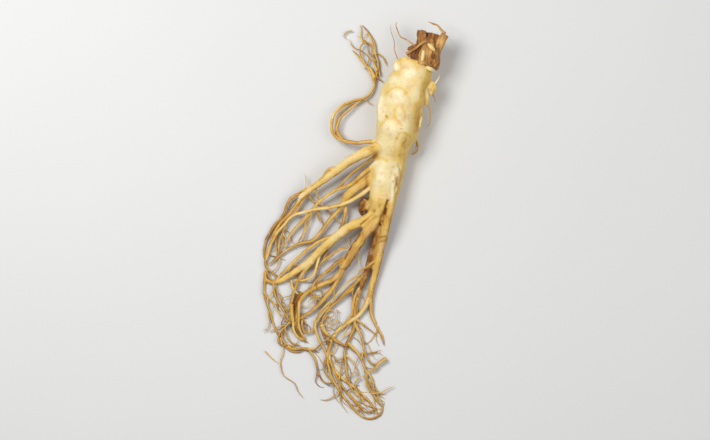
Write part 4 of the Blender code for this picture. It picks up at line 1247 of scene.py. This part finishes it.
# %% The knobby rhizome
NECK_STATIONS = [
    (17.5, 33, 18.2, 0.6), (19.2, 37, 19.4, 0.88), (19.6, 41, 20, 1), (19.8, 45, 20, 0.98),
    (20.4, 49, 19.6, 0.96), (21.6, 53, 19.2, 0.92), (22.6, 56, 18.8, 0.6),
]
NECK_WIDTH = 14.6
NECK_START = 900.0
LUMPS = [
    (15.6, 40.5, 22.4, 4.2), (23, 38.5, 22.2, 4.4), (15.8, 45.5, 22.8, 3.8), (24, 44.6, 22.4, 4),
    (19.6, 42.6, 24.4, 3.7), (17.4, 50.5, 22.4, 3.6), (24.6, 50.4, 21.4, 3.8), (20.8, 48, 24.2, 3.4),
    (20, 36.8, 23, 3.6), (23.2, 55, 20, 3.4),
]


def ball(centre, radius, seed):
    """A lumpy ball as a short stack of rings."""
    turn = np.linspace(0.05, math.pi - 0.05, 10)
    path = np.array([(centre[0], centre[1] - radius * math.cos(t), centre[2]) for t in turn])
    return tube(path, radius * np.sin(turn), 14, np.full(len(turn), 0.5), seed)


neck_line = smooth_route(NECK_STATIONS, 0.6)
neck_path, neck_radii = neck_line[:, :3], neck_line[:, 3] * NECK_WIDTH / 2
neck_skins = [tube(neck_path, neck_radii, 24, 0.8)]
neck_skins += [ball(lump[:3], lump[3], 10 + k) for k, lump in enumerate(LUMPS)]
rhizome_core = even_skin("rhizome_core", neck_skins, 0.4)
mesh = rhizome_core.data
points, edges = read_points(mesh), edges_of(mesh)
points = relax(points, edges, 0.5, 4)
_, rings = nearest_ring(points, neck_path, neck_radii)
straight = straighten(points, neck_path, rings) + (0, 0, NECK_START)
write_points(mesh, points)
fibres_along = wander(straight * (0.9, 0.9, 0.10), 1.0, 41)
growth_rings = valleys(wander(straight * (0.10, 0.10, 0.42), 1.0, 42), 5.0)
relief = 0.34 * fibres_along - 0.36 * growth_rings + 0.30 * wander(straight, 3.0, 43)
points = points + read_normals(mesh) * relief[:, None]
write_points(mesh, points)
hollow = hollows(mesh, points, edges, 4)
tone = np.clip(0.55 + 0.35 * wander(straight * (1, 1, 0.4), 4.0, 44), 0, 1)
keep_values(mesh, straight, tone, ease(hollow, 0.0, 0.22))
mesh.shade_smooth()
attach(rhizome_core, "root")
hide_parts("rhizome")
print("the neck has", len(mesh.polygons), "faces")

# %% [markdown]
# ## Bark of the neck and its dry sheath
#
# The neck is brown because its skin is cork and the sheath round it is last year's dead leaf base. Its
# fibres show as streaks along it, tan where they are worn and nearly black where they are old. Soil
# darkens the gaps of the rhizome too, and the leaf bases are clean.

# %% Bark and dry sheath
BARK = [
    (0, (0.78, 0.49, 0.19)), (0.35, (0.52, 0.265, 0.075)), (0.7, (0.28, 0.11, 0.026)),
    (1, (0.09, 0.03, 0.008)),
]
WORN = (0.58, 0.33, 0.085)
RED_BROWN = (0.32, 0.125, 0.042)
DARK_GAP = (0.05, 0.02, 0.008)

dry_bark, tree, shader = start_material("dry_bark", 0.72)
grown, tone_here, soil_here = skin_values(tree)
streaks = noise_on(tree, stretched(tree, grown, (1.3, 1.3, 0.14)), 1.0, 4.0, 0.6)
darker = worked_out(tree, "SUBTRACT", tone_here, 0.18)
darker = worked_out(tree, "MULTIPLY_ADD", between(tree, streaks, 0.30, 0.70), 0.36, darker)
colour = graded(tree, darker, BARK)
worn = noise_on(tree, stretched(tree, grown, (1.0, 1.0, 0.5)), 0.5, 3.0)
colour = mixed(tree, between(tree, worn, 0.56, 0.70, 0.0, 0.7), colour, WORN)
reddish = noise_on(tree, stretched(tree, grown, (1.0, 1.0, 0.4)), 0.33, 3.0)
colour = mixed(tree, between(tree, reddish, 0.50, 0.62, 0.0, 0.6), colour, RED_BROWN)
colour = mixed(tree, between(tree, soil_here, 0.1, 1.0, 0.0, 0.9), colour, DARK_GAP)
tree.links.new(colour, shader.inputs["Base Color"])
shader.inputs["Specular IOR Level"].default_value = 0.3
raised(tree, shader, streaks, 0.45, 0.4)
rhizome_core.data.materials.clear()
rhizome_core.data.materials.append(dry_bark)
print("the bark has", len(tree.nodes), "nodes")

# %% [markdown]
# ## The torn sheath and what grows from the neck
#
# Dry leaf bases wrap the neck and flare at the top like a torn cup. They are drawn as overlapping
# sheets, the inner ones hollow towards the camera and the outer ones rounded, and loose fibres lie on
# them and fray past their ends. Two pale spurs and a pale lump are this year's buds and the old scar.

# %% Leaf bases round the neck
LEAVES = [
    Sheet("cup_back", [(18.6, 46, 21), (18.6, 53, 20.6), (18.8, 61, 21.2)], (9, 11, 11), -1, 0.07, 0.68),
    Sheet("cup_left", [
        (15.6, 47, 23.6), (15.6, 54, 23.2), (16.2, 62.8, 23.6)], (6.4, 6.6, 6.4), -0.5, 0.1, 0.58),
    Sheet("middle", [(22.5, 46, 23.6), (24, 53, 22.6), (25.8, 59.8, 22.8)], (8, 9.2, 9.4), -1, 0.06, 0.62),
    Sheet("right_flare", [
        (27, 38, 20.4), (27.2, 46, 23.2), (30, 53.5, 24.8),
        (33.6, 59.6, 25.6)], (3.6, 5.6, 6.8, 5.4), 1.6, 0.06, 0.18),
    Sheet("front_right", [(24, 36, 24.6), (25, 43, 27.4), (26.2, 51, 25.6)], (5.4, 7, 4.4), 1.4, 0.2, 0.52),
    Sheet("front_left", [
        (16.4, 37.2, 27.2), (17.6, 45, 28.4), (20.4, 54, 26.4)], (6.4, 7.2, 4.6), 1.2, 0.22, 0.3),
    # The left leaf base is nearly black: partly its own brown and partly painted shade of the pit beside the
    # neck.
    Sheet("left_side", [(11, 40.6, 27), (12.4, 46, 27.2), (15.2, 53, 26)], (6.8, 7, 3.4), 1, 0.24, 0.95),
    Sheet("wedge", [(14.5, 50.5, 22.8), (9.6, 49, 22), (5.2, 48, 20.6)], (5.4, 4.2, 1.4), 0.7, 0.16, 0.6),
    Sheet("left_foot", [(14, 46, 26.8), (10, 44.6, 25.4), (5.2, 44.2, 22.4)], (5, 4.4, 2), 0.7, 0.16, 0.6),
    Sheet("inner_tongue", [
        (20.6, 42, 27.2), (22.2, 49, 28), (24.4, 55, 26)], (4.2, 4.6, 2.2), 0.9, 0.25, 0.22),
    Sheet("right_skirt", [
        (27.2, 46, 21.4), (27.2, 39, 20.4), (26.2, 31.8, 18)], (4, 4.8, 2.2), 1.1, 0.2, 0.42),
    # Painted shadow: this small scale is made black where a hole lies among the leaf bases.
    Sheet("dark_scale", [
        (24, 45.4, 27.4), (24.4, 42.8, 28.6), (24.8, 40.4, 27)], (1.6, 3.4, 1.2), 0.9, 0.25, 1),
    Sheet("low_scale", [
        (21.2, 42, 27.6), (22, 38.2, 26.8), (22.6, 34.8, 25.2)], (3.6, 6, 4.4), 1.1, 0.2, 0.55),
]
leaf_skins = [sheet_skin(item, rows=44, columns=35, thick=0.42) for item in LEAVES]


def bark_piece(name, skins):
    """One dry piece from many skins, free of soil."""
    piece = joined_piece(name, skins, dry_bark, 0.0)
    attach(piece, "root")
    return piece


sheath_flakes = bark_piece("sheath_flakes", leaf_skins)
print(len(LEAVES), "leaf bases have", len(sheath_flakes.data.polygons), "faces")

# %% Loose fibres on the leaf bases, and the strands that leave the neck
NECK_STRANDS = [
    Root("left_strap", (1.8, 1.6), (23.6, 28.8, 28.6), 0.32, [
        (5.2, 44.8), (8.6, 46.8), (12.4, 49.2), (16, 52), (19.4, 54)]),
    Root("hair_root", (1.2, 0.8), (24, 22, 16, 11), 0.25, [
        (17.5, 47), (12.4, 50), (8.4, 52.8), (4.4, 55.6), (1, 57.6), (-1.2, 62), (-2.2, 66), (-1.6, 68.2)]),
    Root("top_thread", (1.6, 0.9), (25, 23, 19, 17), 0.3, [
        (33, 59.6), (30.2, 62), (27.4, 65.6), (25, 66.6), (20.6, 68.6)]),
    Root("faint_hair", (0.6, 0.35), (20, 14, 7, 3), 0.35, [
        (-1.4, 41.4), (-3.4, 48), (-3.8, 54), (-5.4, 60), (-6.6, 66.5)]),
]
NECK_SEED = 600
FIBRES_EACH = 9
FIBRE_RINGS = 12

draw = random.Random(12)
fibre_skins = []
for item in LEAVES:
    line = smooth_route(item.line, 0.5)
    for _ in range(FIBRES_EACH):
        across, first = draw.uniform(-0.9, 0.9), draw.uniform(0.0, 0.5)
        last = min(1.04, first + draw.uniform(0.25, 0.75))
        drift = draw.uniform(-0.25, 0.25)
        shares = np.linspace(first, last, FIBRE_RINGS)
        path = np.array([sheet_point(item, line, min(s, 1.0), across + drift * (s - first), FIBRE_RIDGES)[0]
                         for s in shares])
        frayed = (draw.uniform(-1, 1), draw.uniform(0, 1.4), 0.8)
        path += (0, 0, 0.28) + np.outer(ease(shares, 0.6, 1.1), frayed)
        thick = draw.uniform(0.10, 0.26) * (1 - 0.6 * np.linspace(0, 1, FIBRE_RINGS) ** 2)
        tone = min(0.95, max(0.0, item.tone + draw.uniform(-0.4, 0.15)))
        fibre_skins.append(tube(path, thick, 5, tone, across))
fibre_skins += grown_skins(NECK_STRANDS, NECK_SEED, step=0.8, sides=8, tremble=0.35)
sheath_fibres = bark_piece("sheath_fibres", fibre_skins)
print(len(fibre_skins), "fibres have", len(sheath_fibres.data.polygons), "faces")

# %% Pale spurs, the lump at the base of the neck and the knob on the shoulder
BUDS = [
    ("spur", [(17.5, 48.4, 27.6), (17, 44.6, 29.4), (16.1, 39.2, 28.8)], (0.9, 1.5, 1.2), 0.13),
    ("streak", [(20.2, 52.2, 26.6), (22.8, 49.6, 28.4), (25.6, 46.6, 27.4)], (1, 1.8, 1), 0.17),
    ("lump", [(18.4, 35.4, 24), (21.6, 34.2, 25.4), (25, 32.2, 22.8)], (1, 1.9, 1.1), 0.14),
    ("knob", [(-1.4, 32.6, 19.8), (-1.2, 35.2, 21.9), (-1.4, 38, 20.8)], (2.4, 3.6, 2.5), 0),
]
bud_skins = []
for number, (_, line, reaches, tone) in enumerate(BUDS):
    path = smooth_route(line, 0.4)
    share = np.linspace(0, 1, len(path))
    round_end = np.sqrt(np.clip(1 - (2 * share - 1) ** 6, 0.05, 1))
    radii = np.interp(share, (0, 0.5, 1), reaches) * round_end * (1 + 0.08 * wander(path, 1.8, number))
    bud_skins.append(tube(path, radii, 20, tone, number))
pale_buds = skin_piece("pale_buds", bud_skins, 0.15)
print([name for name, *_ in BUDS], "have", len(pale_buds.data.polygons), "faces")

# %% [markdown]
# ## The room
#
# The root lies on a plain pale floor. The photograph was taken from almost straight above in soft light
# from the upper left, so the key lamp stands there. A wide lamp on the right and the sky fill the shade.
# The camera looks straight down from five metres, which keeps lengths in plan true.

# %% Floor
FLOOR_WIDTH = 4.0
FLOOR_DROP = 0.05 * MM
bpy.ops.mesh.primitive_plane_add(size=FLOOR_WIDTH, location=(-0.03, -0.075, -FLOOR_DROP))
floor = bpy.context.object
floor.name = "floor"
floor_finish, tree, shader = start_material("pale_floor", 0.8)
place = tree.nodes.new("ShaderNodeTexCoord").outputs["Object"]
cloudy = noise_on(tree, place, 3.0, 3.0)
tree.links.new(mixed(tree, cloudy, (0.70, 0.71, 0.72), (0.75, 0.76, 0.77)), shader.inputs["Base Color"])
floor.data.materials.append(floor_finish)
print("the floor is", FLOOR_WIDTH, "m wide")

# %% Lights
MIDDLE = Vector((-0.032, -0.075, 0.01))
SKY_COLOUR = (0.97, 0.98, 1.0, 1)
SKY_STRENGTH = 0.26


def lamp(name, place, size, watts, colour):
    """A square area lamp that faces the root."""
    light = bpy.data.lights.new(name, "AREA")
    light.size = size
    light.energy = watts
    light.color = colour
    thing = bpy.data.objects.new(name, light)
    thing.location = place
    thing.rotation_euler = (MIDDLE - thing.location).to_track_quat("-Z", "Y").to_euler()
    bpy.context.scene.collection.objects.link(thing)


lamp("key", Vector((-0.48, 0.30, 0.88)), 0.46, 8.2, (1.0, 0.985, 0.95))
lamp("fill", Vector((0.72, -0.12, 1.05)), 1.0, 6.0, (1.0, 0.97, 0.93))
world = bpy.data.worlds.new("soft sky")
bpy.context.scene.world = world
world.use_nodes = True
sky = world.node_tree.nodes["Background"]
sky.inputs["Color"].default_value = SKY_COLOUR
sky.inputs["Strength"].default_value = SKY_STRENGTH
bpy.context.scene.view_settings.view_transform = "Standard"

# %% Camera
ENLARGED = 1.38
EYE_HEIGHT = 5.0
PICTURE_WIDTH = 0.710
lens = bpy.data.cameras.new("photo_view")
eye = bpy.data.objects.new("photo_view", lens)
eye.location = (MIDDLE.x, MIDDLE.y, EYE_HEIGHT)
lens.sensor_width = 36.0
lens.lens = lens.sensor_width * eye.location.z * ENLARGED / PICTURE_WIDTH
lens.clip_start = 0.01
bpy.context.scene.collection.objects.link(eye)
bpy.context.scene.camera = eye
print("lens:", round(lens.lens, 1), "mm")
